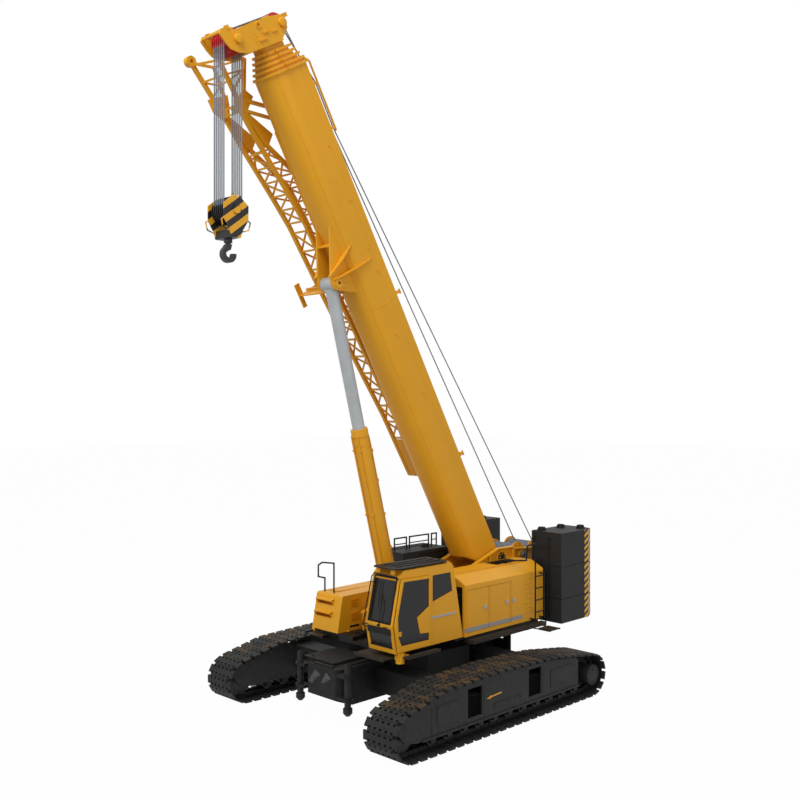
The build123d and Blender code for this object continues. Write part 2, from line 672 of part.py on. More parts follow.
def cab_glass():
    """Windscreen, lower front pane, side, inner and rear panes, each set in its frame."""
    y0, y1 = CAB_IN + 70, CAB_OUT - 70

    def front(z):
        return 2080 - LEAN * (z - 2190)

    panes = [plate_xz([(front(2240) - 30, 2240), (front(2240) - 22, 2240), (front(3110) - 22, 3110),
                       (front(3110) - 30, 3110)], y0, y1)]
    low = [(1994 - 30, 1720), (1994 - 22, 1720), (2067 - 22, 2120), (2067 - 30, 2120)]
    panes.append(plate_xz(low, y0, y1))
    panes.append(plate_xz(SIDE_GLASS, CAB_OUT - 24, CAB_OUT - 16))
    panes.append(plate_xz(INNER_GLASS, CAB_IN + 16, CAB_IN + 24))
    back = (180 + 140) / (3230 - CAB_FLOOR)
    panes.append(plate_xz([(-140 + back * (2350 - CAB_FLOOR) + 20, 2350),
                           (-140 + back * (2350 - CAB_FLOOR) + 28, 2350),
                           (-140 + back * (3080 - CAB_FLOOR) + 28, 3080),
                           (-140 + back * (3080 - CAB_FLOOR) + 20, 3080)],
                          CAB_IN + 90, CAB_OUT - 90))
    return Compound(panes)


def cab_seat():
    """Driver's seat on its pedestal, with arm-rest consoles."""
    seat = block(700, 1200, 960, 1320, 1900, 2030)
    seat += plate_xz([(760, 1960), (640, 1960), (520, 2720), (620, 2740)], 960, 1320)
    seat += block(780, 1120, 1040, 1240, 1670, 1905)
    for y in (880, 1330):
        seat += block(760, 1240, y, y + 70, 2150, 2240)
        seat += block(700, 780, y, y + 70, 1980, 2240)
    seat += block(700, 780, 900, 1380, 1980, 2020)
    return seat


def cab_console():
    """Instrument column in front of the driver."""
    column = block(1640, 1760, 1080, 1200, 1670, 2300)
    return column + plate_xz([(1600, 2290), (1740, 2290), (1800, 2560), (1760, 2580)], 990, 1290)


def cab_guard():
    """Falling-object plate on posts over the roof, and the bent rail before the windscreen."""
    roof = plate_xy([(2180, 830), (2180, 1460), (2080, 1540), (300, 1540), (220, 1460), (220, 800),
                     (2080, 770)], 3490, 3520)
    for x in (420, 1650):
        for y in (850, 1440):
            roof += Pos(x, y, 3406) * Cylinder(22, 172)
    for y in (870, 1420):
        roof += bar((1650, y, 3400), (2120, y, 3495), 18)
    return roof


# ---------------------------------------------------------------- counterweight
CW_SEAM = 14


def cw_outline(inset):
    return [(CW_FRONT - inset, CW_IN + inset), (CW_FRONT - inset, CW_OUT - inset),
            (CW_REAR + 280, CW_OUT - inset), (CW_REAR + 60 + inset, CW_OUT - 90 - inset),
            (CW_REAR + inset, CW_OUT - 300), (CW_REAR + inset, CW_IN + inset)]


LUGS = [(-3420, 1270), (-4180, 1300), (-4420, 1730)]  # lifting posts on the top slab


def counterweight_stack():
    """Three cast slabs, keyed together, with an open seam round each joint."""
    stack = plate_xy(cw_outline(0), CW_LEVELS[0], CW_LEVELS[-1])
    for z in CW_LEVELS[1:-1]:
        ring = plate_xy(cw_outline(-50), z - CW_SEAM / 2, z + CW_SEAM / 2)
        stack -= ring - plate_xy(cw_outline(20), z - CW_SEAM, z + CW_SEAM)
    for x, y in LUGS:
        stack += Pos(x, y, CW_LEVELS[-1] + 40) * Cylinder(75, 90)
    return stack


def counterweight_tray():
    """Tray between the two stacks, hung behind the turntable."""
    tray = block(CW_REAR, -3230, -CW_IN, CW_IN, 1460, 1760)
    tray += block(CW_REAR, -4300, -CW_IN, CW_IN, 1750, 2290)
    tray += block(-3500, -3230, -700, 700, 1750, 2290)
    for y in (-620, 560):
        tray += block(-4310, -3490, y, y + 60, 1750, 2290)
    return tray


# ---------------------------------------------------------------- boom
PAD = 200            # length of the rear wear pads
COLLAR = 55


def boom_profile(inset):
    """Box with a large-radius underside, in the plane square to the boom."""
    half = BOOM_B / 2 - inset
    top = BOOM_TOP - inset
    bottom = BOOM_TOP - BOOM_H + inset
    round_r = half - 70
    lines = [Line((-half + 40, top), (half - 40, top)), Line((half - 40, top), (half, top - 40)),
             Line((half, top - 40), (half, bottom + round_r)),
             RadiusArc((half, bottom + round_r), (half - round_r, bottom), round_r),
             Line((half - round_r, bottom), (-half + round_r, bottom)),
             RadiusArc((-half + round_r, bottom), (-half, bottom + round_r), round_r),
             Line((-half, bottom + round_r), (-half, top - 40)),
             Line((-half, top - 40), (-half + 40, top))]
    return make_face(Plane.YZ * Wire(lines))


def ring(outside, inside, start, end):
    wall = extrude(boom_profile(outside) - boom_profile(inside), end - start, dir=(1, 0, 0))
    return Pos(start, 0, 0) * wall


def section_end(index):
    return BASE_END + SECTION_STEP * (index - 1)


def boom_tube(index, start):
    """One section: tube, front collar with its wear pads, and lugs on the collar's corners."""
    inset = NEST * (index - 1)
    end = section_end(index)
    tube = ring(inset, inset + WALL, start, end)
    tube += ring(inset - 35, inset + NEST - FIT, end - COLLAR, end)
    half = BOOM_B / 2 - inset
    top = BOOM_TOP - inset
    for side in (-1, 1):
        y = side * (half - 90)
        tube += block(end - COLLAR + 5, end - 5, y - 45, y + 45, top + 10, top + 95)
        tube += Pos(end - COLLAR / 2, y, top + 95) * Rot(0, 90, 0) * Cylinder(40, COLLAR - 15)
        tube += block(end - COLLAR + 5, end - 5, side * (half + 5), side * (half + 80), -500, -440)
    return tube


def rear_pads(index, start):
    inset = NEST * (index - 1)
    return ring(inset - NEST + WALL + FIT, inset + WALL, start, start + PAD)


GUARD = (8760, 11440)                   # long rub guard along the lower right corner
CORNER_R = BOOM_B / 2 - 70              # large radius of the base section's underside


def corner_guard():
    """Curved band of plate that lies on the rounded corner, seen along the boom."""
    start, end = GUARD
    arc = Circle(CORNER_R + 22) - Circle(CORNER_R - 4)
    reach = 2 * CORNER_R
    wedge = make_face(Polyline((0, 0), *[(-reach * math.cos(math.radians(a)), -reach * math.sin(math.radians(a)))
                                         for a in (28, 45, 62)], close=True))
    centre = Plane((start, CORNER_R - BOOM_B / 2, BOOM_TOP - BOOM_H + CORNER_R), x_dir=(0, 1, 0),
                   z_dir=(1, 0, 0))
    return extrude(centre * (arc & wedge), end - start, dir=(1, 0, 0))


BRACKET = [(7700, -800), (7950, -1240), (8060, -1400), (8210, -1400), (8330, -1360), (9380, -800)]
BRACKET_Y = 235      # outer face of the cylinder bracket plates
ROD_PIN_R = 79.7
ROD_BORE = 80


def boom_base():
    """Base section with the foot boss, the cylinder bracket and its stiffening ribs."""
    tube = boom_tube(1, 600)
    foot = ring(0, 200, -120, 605)
    foot -= plate_xz([(-400, -330), (-100, -330), (660, -900), (660, -1000), (-400, -1000)], -500, 500)
    foot += both(shaft_y(0, 0, 180, SIDE_PLATE_Y - 25, 170))
    foot += block(-100, 60, -200, 200, -60, 60)
    foot -= shaft_y(0, 0, -600, 600, PIN_BORE)
    ear = plate_xz(BRACKET, BRACKET_Y - 45, BRACKET_Y)
    ear += shaft_y(ROD_EYE_S, ROD_EYE_T, BRACKET_Y - 45, BRACKET_Y + 30, 150)
    ear -= shaft_y(ROD_EYE_S, ROD_EYE_T, 0, 500, ROD_BORE)
    ear -= Pos(7000, 0, 0) * extrude(boom_profile(WALL), 3000, dir=(1, 0, 0))
    bracket = both(ear)
    for s in (7860, 8900):
        bracket += block(s - 12, s + 12, -BRACKET_Y + 5, BRACKET_Y - 5, -1050, -880)
    return on_boom(tube + foot + bracket + corner_guard())


def boom_section(index):
    start = 900 + 120 * (index - 1)
    inset = NEST * (index - 1)
    if index < SECTIONS:
        return on_boom(boom_tube(index, start) + rear_pads(index, start))
    tube = ring(inset, inset + WALL, start, HEAD_START)
    return on_boom(tube + rear_pads(index, start))


RACK_POSTS = [12560, 12030, 11060]      # stations of the rope rack's posts along the boom
ROLLER_T = 270                          # height of its rollers, square to the boom
ROLLER_SIZE = 30


def boom_rope_rack():
    """Roller rack standing on the top plate, that keeps the hoist ropes off the boom."""
    rack = []
    for side in (-1, 1):
        y = side * 250
        rail = bar((10980, y, 330), (12480, y, 330), 22) + bar((12480, y, 330), (12590, y, 215), 22)
        for s in RACK_POSTS:
            top = 330 if s < 12500 else 240
            rail += block(s - 20, s + 20, y - 18, y + 18, BOOM_TOP, top)
        rack.append(rail)
    shape = Part() + rack
    for s in RACK_POSTS[1:]:
        shape += bar((s, -255, ROLLER_T), (s, 255, ROLLER_T), ROLLER_SIZE)
    return on_boom(shape)


ROPE_RUNS = [("main", 260, 130, 700), ("aux", 260, 204, 1000)]  # winch, y at it and at the rack, free end


def back_ropes():
    """The long straight runs of both hoist ropes, from over the winches up to the rack."""
    ropes = []
    for name, y_low, y_high, free in ROPE_RUNS:
        x, z, r = [(x, z, r) for drum, x, z, r in WINCHES if drum == name][0]
        lean = math.radians(130)
        low = Vector(x + 0.72 * r * math.cos(lean), y_low, z + 0.72 * r * math.sin(lean))
        high = Vector(*boom_point(RACK_POSTS[2], ROLLER_T + ROLLER_SIZE + FALL_R + FIT, y_high))
        start = low + (high - low).normalized() * free
        ropes.append(bar(tuple(start), tuple(high), FALL_R))
    return Compound(ropes)


HEAD_START = 13040
JIB_PIN = (13470, -690)
JIB_PIN_R = 35
CHEEK = [(13045, -1170), (13120, -1390), (13230, -1550), (13380, -1620), (13570, -1670), (13640, -1600),
         (13630, -1400), (13540, -1290), (13560, -780), (13550, -310), (13500, 70), (13230, 30),
         (13045, -230)]


def boom_head():
    """Head cheeks with their shaft bosses, ribs and rope guards."""
    cheek = plate_xz(CHEEK, HEAD_Y - 30, HEAD_Y)
    for t in (FRONT_T, REAR_T):
        cheek += shaft_y(HEAD_S, t, HEAD_Y - 40, HEAD_Y + 45, 90)
        cheek -= shaft_y(HEAD_S, t, 0, 500, 61)
    for s, t, half_t in ((13300, -560, 90), (13180, -700, 110)):
        cheek += block(s - 12, s + 12, HEAD_Y - 5, HEAD_Y + 30, t - half_t, t + half_t)
    cheek += block(13250, 13290, HEAD_Y - 5, HEAD_Y + 25, -420, -260)
    cheek += shaft_y(*JIB_PIN, HEAD_Y - 35, HEAD_Y + 20, 65)
    cheek -= shaft_y(*JIB_PIN, 0, 500, JIB_PIN_R)
    head = both(cheek)
    plate = plate_yz([(-HEAD_Y, -1170), (HEAD_Y, -1170), (HEAD_Y, -180), (-HEAD_Y, -180)], HEAD_START,
                     HEAD_START + 25)
    head += plate
    head += block(HEAD_START + 20, 13540, -HEAD_Y + 25, HEAD_Y - 25, -560, -530)
    for s, t in ((13590, -1610), (13625, -1420), (13550, -340), (13070, -1150), (13100, -230)):
        head += shaft_y(s, t, -HEAD_Y + 10, HEAD_Y - 10, 24)
    for s, t in ((13640, -1420), (13490, 120)):
        lug = block(s - 60, s + 25, HEAD_Y - 40, HEAD_Y + 10, t - 70, t + 20)
        head += both(lug)
    return on_boom(head)


def sheave_pack(s, t, count, pitch, half, shaft_r):
    """Grooved sheaves side by side on one shaft."""
    rim = pitch - 44
    pack = shaft_y(s, t, -half, half, shaft_r)
    edge = count * pitch / 2 + rim / 2
    pack += shaft_y(s, t, -edge, edge, SHEAVE_R)
    for k in range(count):
        y = (k - (count - 1) / 2) * pitch
        groove = shaft_y(s, t, y - 22, y + 22, SHEAVE_R + 10)
        pack -= groove - shaft_y(s, t, y - 30, y + 30, GROOVE_R)
    return pack


# ---------------------------------------------------------------- jib
# Lattice jib stowed along the right of the boom, drawn in boom coordinates (s, t) with its
# near chords at NEAR_Y and its far chords further out.
NEAR_Y = -600
FAR_Y = -1180
CHORD = 78           # square tubes of the chords and of the lacing
LACE = 38
JIB = [(12000, -1180, -1110, FAR_Y), (11350, -1085, -960, FAR_Y), (10200, -880, -330, -1165),
       (9400, -760, -250, -1150), (8000, -700, -260, -1110), (5600, -570, -200, -1030),
       (4400, -495, -160, -985), (2700, -480, -250, -930)]  # s, lower t, upper t, far y
BAYS = [(11150, 9480, 5), (9250, 3750, 12)]                 # from s, to s, count


def jib_at(s):
    """The four chord points of the jib at a station, between the rows of the table."""
    for (s0, *a), (s1, *b) in zip(JIB, JIB[1:]):
        if s1 <= s <= s0:
            f = (s0 - s) / (s0 - s1)
            low, high, far = [p + (q - p) * f for p, q in zip(a, b)]
            return [(s, NEAR_Y, low), (s, far, low), (s, far, high), (s, NEAR_Y, high)]


def chord(points):
    """Square tubes from knot to knot, each run a little past its ends to close the bend."""
    pieces = []
    for p, q in zip(points, points[1:]):
        a, b = Vector(*p), Vector(*q)
        step = (b - a).normalized() * 8
        pieces.append(square_bar(tuple(a - step), tuple(b + step), CHORD))
    return pieces


def lacing(start, end, count):
    """Cross struts at each bay, and zigzag lacing on the four faces."""
    pieces = []
    frames = [jib_at(start + (end - start) * k / count) for k in range(count + 1)]
    for k, frame in enumerate(frames):
        pieces += [square_bar(frame[0], frame[1], LACE), square_bar(frame[2], frame[3], LACE)]
        if k < count:
            after = frames[k + 1]
            for i, j in ((0, 1), (1, 2), (2, 3), (3, 0)):
                a, b = (frame[i], after[j]) if k % 2 else (frame[j], after[i])
                pieces.append(square_bar(a, b, LACE - 4))
    return pieces


def jib_adapter():
    """Holed side plates, pin box and the struts that tie them to the boom."""
    pieces = []
    for y in (NEAR_Y, FAR_Y):
        web = plate_xz([(12080, -1210), (11200, -1100), (11230, -860), (11400, -640), (12060, -1080)],
                       y - 12, y + 12)
        for s, r in ((11500, 42), (11620, 33), (11740, 24)):
            web -= shaft_y(s, -1005 - (s - 11500) * 0.22, y - 50, y + 50, r)
        pieces.append(web)
    pieces.append(plate_xz([(12010, -1230), (12010, -1080), (12300, -950), (12460, -900), (12520, -1400),
                            (12250, -1400)], FAR_Y - 35, FAR_Y + 25))
    pieces.append(plate_xz([(12010, -1230), (12010, -1080), (12250, -760), (12450, -900),
                            (12300, -1250)], NEAR_Y - 25, NEAR_Y + 35))
    cross = block(12060, 12240, FAR_Y + 20, NEAR_Y - 20, -1245, -1215)
    cross -= Pos(12150, -880, -1230) * Cylinder(62, 300)
    pieces.append(cross)
    for s0, t0, s1, size in ((12230, -960, 11900, 70), (12060, -1090, 11640, 62)):
        pieces.append(square_bar((s0, NEAR_Y, t0), (s1, -455, -510), size))
        pieces.append(block(s1 - 60, s1 + 60, -480, -BOOM_B / 2, -520, -440))
    return pieces


JIB_HEAD = [  # struts of the jib's head frame: two ends (s, y, t) and the section
    ((12450, FAR_Y, -1270), (13300, FAR_Y, -1430), 78),
    ((12300, FAR_Y, -1000), (13060, FAR_Y, -930), 60),
    ((12250, NEAR_Y, -1150), (13150, NEAR_Y, -1190), 76),
    ((12400, NEAR_Y, -920), (13000, NEAR_Y, -560), 62),
    ((13060, FAR_Y, -930), (13300, FAR_Y, -1430), 50),
    ((13150, NEAR_Y, -1190), (13000, NEAR_Y, -560), 50),
    ((13060, FAR_Y, -930), (13000, NEAR_Y, -560), 44),
    ((13250, FAR_Y, -1420), (13150, NEAR_Y, -1190), 50),
    ((12870, FAR_Y, -1350), (12850, NEAR_Y, -1178), 44),
    ((12870, FAR_Y, -1350), (12680, FAR_Y, -965), 36),
    ((12520, FAR_Y, -1284), (12680, FAR_Y, -965), 36),
    ((12850, NEAR_Y, -1178), (12800, NEAR_Y, -680), 36),
    ((12500, NEAR_Y, -1162), (12800, NEAR_Y, -680), 36),
    ((12680, FAR_Y, -965), (12800, NEAR_Y, -680), 36),
]
JIB_FEET = [(7957, -1111), (7957, NEAR_Y)]   # s and y of the feet that stand on the shelf
SHELF_T = -900


def jib():
    """Whole stowed jib: chords, lacing, adapter, head frame, end plates and its seats."""
    corners = [jib_at(row[0]) for row in JIB]
    pieces = []
    for k in range(4):
        pieces += chord([frame[k] for frame in corners])
    for start, end, count in BAYS:
        pieces += lacing(start, end, count)
    pieces += jib_adapter()
    pieces += [square_bar(p, q, side) for p, q, side in JIB_HEAD]
    for low, high in ((-505, -480), (-262, -238)):
        pieces.append(block(2660, 3700, -975, NEAR_Y + 30, low, low + 24))
    for y in (NEAR_Y, -960):
        pieces.append(plate_xz([(2660, -500), (3700, -500), (3300, -240), (2660, -240)], y - 10, y + 10))
    for s, y in JIB_FEET:
        pieces.append(block(s - 25, s + 25, y - 40, y + 40, SHELF_T, -690))
    pieces.append(block(3000, 3080, NEAR_Y - 20, -BOOM_B / 2, -420, -350))
    shape = Part() + pieces
    lug = shaft_y(13330, -1440, FAR_Y - 70, FAR_Y + 60, 110)
    return on_boom(shape + lug - shaft_y(13330, -1440, FAR_Y - 100, FAR_Y + 100, 40))


def jib_shelf():
    """Shelf on the cylinder bracket that the jib's feet stand on, with its hanging plate."""
    shelf = block(7925, 7990, -1240, -BRACKET_Y, -960, SHELF_T)
    shelf += block(7925, 7945, -1240, -BRACKET_Y, -1230, -950)
    shelf += block(7925, 8200, -1240, -1215, -1230, -1090)
    shelf += block(7640, 7935, -1240, -1215, -1230, -1120)
    return on_boom(shelf - block(7900, 8000, -1080, -640, -1040, -1000))


# ---------------------------------------------------------------- luffing cylinder
EYE = boom_point(ROD_EYE_S, ROD_EYE_T)
CYL_L = math.dist(EYE, BARREL_FOOT)
CYL_ANGLE = math.degrees(math.atan2(EYE[2] - BARREL_FOOT[2], EYE[0] - BARREL_FOOT[0]))


def on_cylinder(shape):
    return Location(BARREL_FOOT, (0, -CYL_ANGLE, 0)) * shape


def along(x0, x1, r):
    return Pos((x0 + x1) / 2, 0, 0) * Rot(0, 90, 0) * Cylinder(r, x1 - x0)


def luff_barrel():
    """Barrel with its gland, two feed pipes and the foot eye."""
    barrel = along(120, BARREL_L, BARREL_R) + along(BARREL_L - 160, BARREL_L, BARREL_R + 18)
    barrel -= along(400, BARREL_L - 200, ROD_R + 12)
    barrel -= along(BARREL_L - 210, BARREL_L + 10, ROD_R + FIT)
    barrel += shaft_y(0, 0, -200, 200, 150)
    barrel -= shaft_y(0, 0, -300, 300, 90)
    for side in (-1, 1):
        pipe = bar((700, side * 90, -178), (BARREL_L - 120, side * 90, -178), 20)
        for x in (1100, 2600, 4100):
            pipe += block(x - 20, x + 20, side * 90 - 30, side * 90 + 30, -205, -140)
        barrel += pipe
    return on_cylinder(barrel)


def luff_rod():
    """Chromed rod, its eye between the bracket plates and the pin through them."""
    rod = along(CYL_L - ROD_L, CYL_L - 100, ROD_R)
    rod += along(CYL_L - ROD_L, CYL_L - ROD_L + 90, ROD_R + 11.7)
    rod += shaft_y(CYL_L, 0, -BRACKET_Y + 50, BRACKET_Y - 50, 150)
    return on_cylinder(rod + shaft_y(CYL_L, 0, -BRACKET_Y - 45, BRACKET_Y + 45, ROD_PIN_R))


# ---------------------------------------------------------------- hoist
FALL_Y = [-160, -96, -32, 32, 96, 160]
FALL_PITCH = 64
BLOCK_Y = 280        # outer face of the block's side plates


def hoist_falls():
    top = boom_point(HEAD_S, FRONT_T)[2]
    falls = []
    for x in (HOOK_X - FALL_HALF, HOOK_X + FALL_HALF):
        for y in FALL_Y:
            falls.append(bar((x, y, BLOCK_SHEAVE_Z), (x, y, top), FALL_R))
    return Compound(falls)


def hook_block():
    """Side plates, six sheaves, guard hoops and the swivel head that carries the hook."""
    x = HOOK_X
    right = [(105, 10850), (290, 10700), (285, 10410), (150, 10200), (105, 10060)]
    outline = [(x + a, z) for a, z in right] + [(x - a, z) for a, z in reversed(right)]
    block_ = both(plate_xz(outline, BLOCK_Y - 25, BLOCK_Y))
    block_ += sheave_pack(x, BLOCK_SHEAVE_Z, 6, FALL_PITCH, BLOCK_Y - 5, 60)
    block_ += both(shaft_y(x, BLOCK_SHEAVE_Z, BLOCK_Y - 10, BLOCK_Y + 30, 80))
    block_ += block(x - 110, x + 110, -BLOCK_Y + 10, BLOCK_Y - 10, BLOCK_BOTTOM, BLOCK_BOTTOM + 160)
    for side in (-1, 1):
        block_ += block(x + side * 90 - 25, x + side * 90 + 25, -BLOCK_Y + 10, BLOCK_Y - 10, 10815, 10845)
        hoop = [(x + side * 270, 10420), (x + side * 340, 10380), (x + side * 300, 10230),
                (x + side * 150, 10180)]
        for y in (-BLOCK_Y + 12, BLOCK_Y - 12):
            block_ += tube_run([(a, y, z) for a, z in hoop], 12)
    for side in (-1, 1):
        eye = Pos(x + side * 70, BLOCK_Y - 12, 10868) * Rot(90, 0, 0) * Cylinder(38, 24)
        block_ += eye - Pos(x + side * 70, BLOCK_Y - 12, 10872) * Rot(90, 0, 0) * Cylinder(18, 40)
    return block_ - Pos(x, 0, BLOCK_BOTTOM) * Cylinder(55, 240)


def hook():
    """Forged hook: shank, tapering neck and a round bowl with its mouth on one side."""
    shank = Pos(HOOK_X, 0, BLOCK_BOTTOM - 20) * Cylinder(55 - FIT, 270)
    bowl_z = HOOK_TIP + 165
    bowl = shaft_y(HOOK_X, bowl_z, -55, 55, 165) - shaft_y(HOOK_X, bowl_z + 12, -100, 100, 78)
    bowl -= block(HOOK_X - 200, HOOK_X - 30, -100, 100, bowl_z + 20, bowl_z + 200)
    neck = [(HOOK_X - 60, BLOCK_BOTTOM - 110), (HOOK_X + 60, BLOCK_BOTTOM - 110),
            (HOOK_X + 160, bowl_z + 30), (HOOK_X + 85, bowl_z + 20), (HOOK_X - 40, bowl_z + 110)]
    collar = Pos(HOOK_X, 0, BLOCK_BOTTOM - 40) * Cylinder(85, 2 * (40 - FIT))
    return shank + bowl + plate_xz(neck, -55, 55) + collar


# ---------------------------------------------------------------- build
for side, turn in (("left", lambda s: s), ("right", mirrored)):
    export(f"track_loop_{side}", turn(track_loop()))
for name, make in (("track_frames", track_frame), ("running_gear", running_gear),
                   ("final_drives", final_drive), ("counterweight_stacks", counterweight_stack)):
    one = make()
    export(name, Compound(one.solids() + mirrored(one).solids()))

export("car_body", car_body())
export("slewing_ring", slewing_ring())
export("jack_barrels", jack_barrels())
for name, fx, fy in JACKS:
    export(f"jack_foot_{name}", jack_foot(fx, fy))

export("turntable", turntable())
export("boom_foot_pin", foot_pin())
export("winch_frame", winch_frame())
for name, x, z, r in WINCHES:
    export(f"winch_{name}", winch(x, z, r))
export("left_housing", Part() + [left_housing()] + housing_hinges())
for name, front, rear in DOORS:
    export(f"housing_door_{name}", housing_door(front, rear))
export("right_housing", right_housing())
export("right_steps", right_steps())
export("service_box", service_box())
export("deck_rails", deck_rails())
export("engine", engine())
export("walkway", walkway())
export("ladder", ladder())
export("counterweight_tray", counterweight_tray())

export("cab_shell", cab_shell())
export("cab_mount", cab_mount())
export("cab_steps", cab_steps())
export("cab_door", cab_door())
export("cab_door_glass", cab_door_glass())
export("cab_glass", cab_glass())
export("cab_seat", cab_seat())
export("cab_console", cab_console())
export("cab_guard", cab_guard())

export("boom_base", boom_base())
for index in range(2, SECTIONS + 1):
    export(f"boom_section_{index}", boom_section(index))
export("boom_rope_rack", boom_rope_rack())
export("back_ropes", back_ropes())
export("boom_head", boom_head())
export("head_sheaves_front", on_boom(sheave_pack(HEAD_S, FRONT_T, 6, FALL_PITCH, HEAD_Y + 40, 60.7)))
export("head_sheaves_rear", on_boom(sheave_pack(HEAD_S, REAR_T, 4, FALL_PITCH, HEAD_Y + 40, 60.7)))
export("jib", jib())
export("jib_shelf", jib_shelf())
export("luff_barrel", luff_barrel())
export("luff_rod", luff_rod())
export("hoist_falls", hoist_falls())
export("hook_block", hook_block())
export("hook", hook())
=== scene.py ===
# %% [markdown]
# This lesson dresses a telescopic-boom crawler crane. Its hard parts come from a CAD model as a
# fixed frame, and each cell adds a finish or a piece to it. The crane stands on z = 0, drives
# toward +X and carries its cab on the +Y side. Every length is in metres.

import json
import math

import bmesh
import bpy
from mathutils import Matrix, Vector


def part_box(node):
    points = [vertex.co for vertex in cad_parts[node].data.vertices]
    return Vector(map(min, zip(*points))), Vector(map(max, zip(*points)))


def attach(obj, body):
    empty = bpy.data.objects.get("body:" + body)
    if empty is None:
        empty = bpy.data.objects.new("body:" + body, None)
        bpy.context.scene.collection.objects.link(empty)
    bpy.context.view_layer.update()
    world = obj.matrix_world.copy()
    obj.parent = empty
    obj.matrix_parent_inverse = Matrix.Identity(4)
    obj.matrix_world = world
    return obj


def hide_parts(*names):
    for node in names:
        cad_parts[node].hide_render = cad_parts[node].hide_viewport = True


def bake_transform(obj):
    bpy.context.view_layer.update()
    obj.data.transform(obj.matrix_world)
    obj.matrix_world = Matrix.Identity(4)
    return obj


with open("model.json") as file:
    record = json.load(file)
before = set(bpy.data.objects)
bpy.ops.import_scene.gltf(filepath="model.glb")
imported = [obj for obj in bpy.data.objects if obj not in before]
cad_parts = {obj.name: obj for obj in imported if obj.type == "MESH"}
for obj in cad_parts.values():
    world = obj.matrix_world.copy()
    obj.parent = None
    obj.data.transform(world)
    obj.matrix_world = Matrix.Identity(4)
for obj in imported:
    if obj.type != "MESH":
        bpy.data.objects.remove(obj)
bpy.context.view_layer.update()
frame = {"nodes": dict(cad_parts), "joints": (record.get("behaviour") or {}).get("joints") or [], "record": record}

# %% [markdown]
# A crane is a machine of pivots, so most places are easiest to say from its joints. The boom is
# drawn lying level from its foot pin and then raised, which gives every piece on it two simple
# numbers: how far along the boom it is, and how high above the line of the foot pin. BOOM turns
# such numbers into places; DECK does the same for pieces measured from the slewing axis.

# %% Places that other pieces are measured from
BOOM_RISE = math.radians(60)
joint_at = {joint["name"]: Vector(joint["pos_m"]) for joint in frame["joints"]}
BOOM_FOOT = joint_at["luff"]
HOOK_X = joint_at["hook_swivel"].x


def on_boom(along, above, y=0.0):
    """Point on the boom, from its foot pin."""
    c, s = math.cos(BOOM_RISE), math.sin(BOOM_RISE)
    return Vector((BOOM_FOOT.x + along * c - above * s, y, BOOM_FOOT.z + along * s + above * c))


def boom_frame(along=0.0, above=0.0, y=0.0):
    """Matrix whose X runs up the boom and Z stands square to its top plate."""
    return Matrix.Translation(on_boom(along, above, y)) @ Matrix.Rotation(-BOOM_RISE, 4, "Y")


BOOM = boom_frame()
SLEW_X = joint_at["slew"].x
DECK = Matrix.Translation((SLEW_X, 0, 0))
print("boom foot:", BOOM_FOOT, "head:", on_boom(13.36, -1.3))

# %% [markdown]
# The camera comes early, because it tells how fine the detail has to be. The crane is seen from
# the front left, from the height of the cab roof, with a normal lens.

# %% Camera
camera_data = bpy.data.cameras.new("camera")
camera_data.sensor_width = 36
camera_data.lens = 43.47
camera_data.clip_end = 400
camera = bpy.data.objects.new("camera", camera_data)
bpy.context.scene.collection.objects.link(camera)
camera.location = (15.617, 15.795, 6.898)
camera.rotation_euler = (math.radians(90), 0, math.radians(135))
bpy.context.scene.camera = camera
print("camera at", camera.location)

# %% [markdown]
# Studio light: one large soft lamp, high and in front, over a pale world that fills the shadows.
# Tops take about twice the light of the sides, which is what makes big plain plates read as
# solid. World and floor look white only to the camera and in reflections and glass, so the paint
# gets no extra light from them.

# %% World that looks white and lights softly
scene = bpy.context.scene
scene.view_settings.view_transform = "Standard"
WORLD_LIGHT = 0.50


def looked_at(new, link):
    """1 for camera rays, mirror rays and rays through glass, else 0."""
    path = new("ShaderNodeLightPath")
    total = path.outputs["Is Camera Ray"]
    for name in ("Is Glossy Ray", "Is Transmission Ray"):
        either = new("ShaderNodeMath")
        either.operation = "MAXIMUM"
        link(total, either.inputs[0])
        link(path.outputs[name], either.inputs[1])
        total = either.outputs[0]
    return total


world = bpy.data.worlds.new("studio")
scene.world = world
world.use_nodes = True
new, link = world.node_tree.nodes.new, world.node_tree.links.new
world.node_tree.nodes.clear()
fill, white = new("ShaderNodeBackground"), new("ShaderNodeBackground")
fill.inputs["Strength"].default_value = WORLD_LIGHT
white.inputs["Strength"].default_value = 1.0
for background in (fill, white):
    background.inputs["Color"].default_value = (1, 1, 1, 1)
either = new("ShaderNodeMixShader")
link(looked_at(new, link), either.inputs["Fac"])
link(fill.outputs[0], either.inputs[1])
link(white.outputs[0], either.inputs[2])
link(either.outputs[0], new("ShaderNodeOutputWorld").inputs["Surface"])
print("world light:", WORLD_LIGHT)


# %% [markdown]
# The key lamp hangs high in front of the crane, large enough to give its shadow a soft edge. A
# weaker one lights the left side, where the cab is.

# %% Lamps
def lamp(name, where, aim, size, power):
    """Square area lamp turned toward a point."""
    data = bpy.data.lights.new(name, "AREA")
    data.size = size
    data.energy = power
    lamp_object = bpy.data.objects.new(name, data)
    scene.collection.objects.link(lamp_object)
    lamp_object.location = where
    lamp_object.rotation_euler = (Vector(aim) - Vector(where)).to_track_quat("-Z", "Y").to_euler()


lamp("key_lamp", (19, 6, 30), (0, 0, 5), 14, 5200)
lamp("side_lamp", (4, 27, 15), (0, 0, 6), 14, 800)

# %% [markdown]
# The floor is there to catch the crane's shadow. Two shaders are mixed by what looks at it: light
# meets a matt grey, and the camera sees it nearly as bright as the world behind.

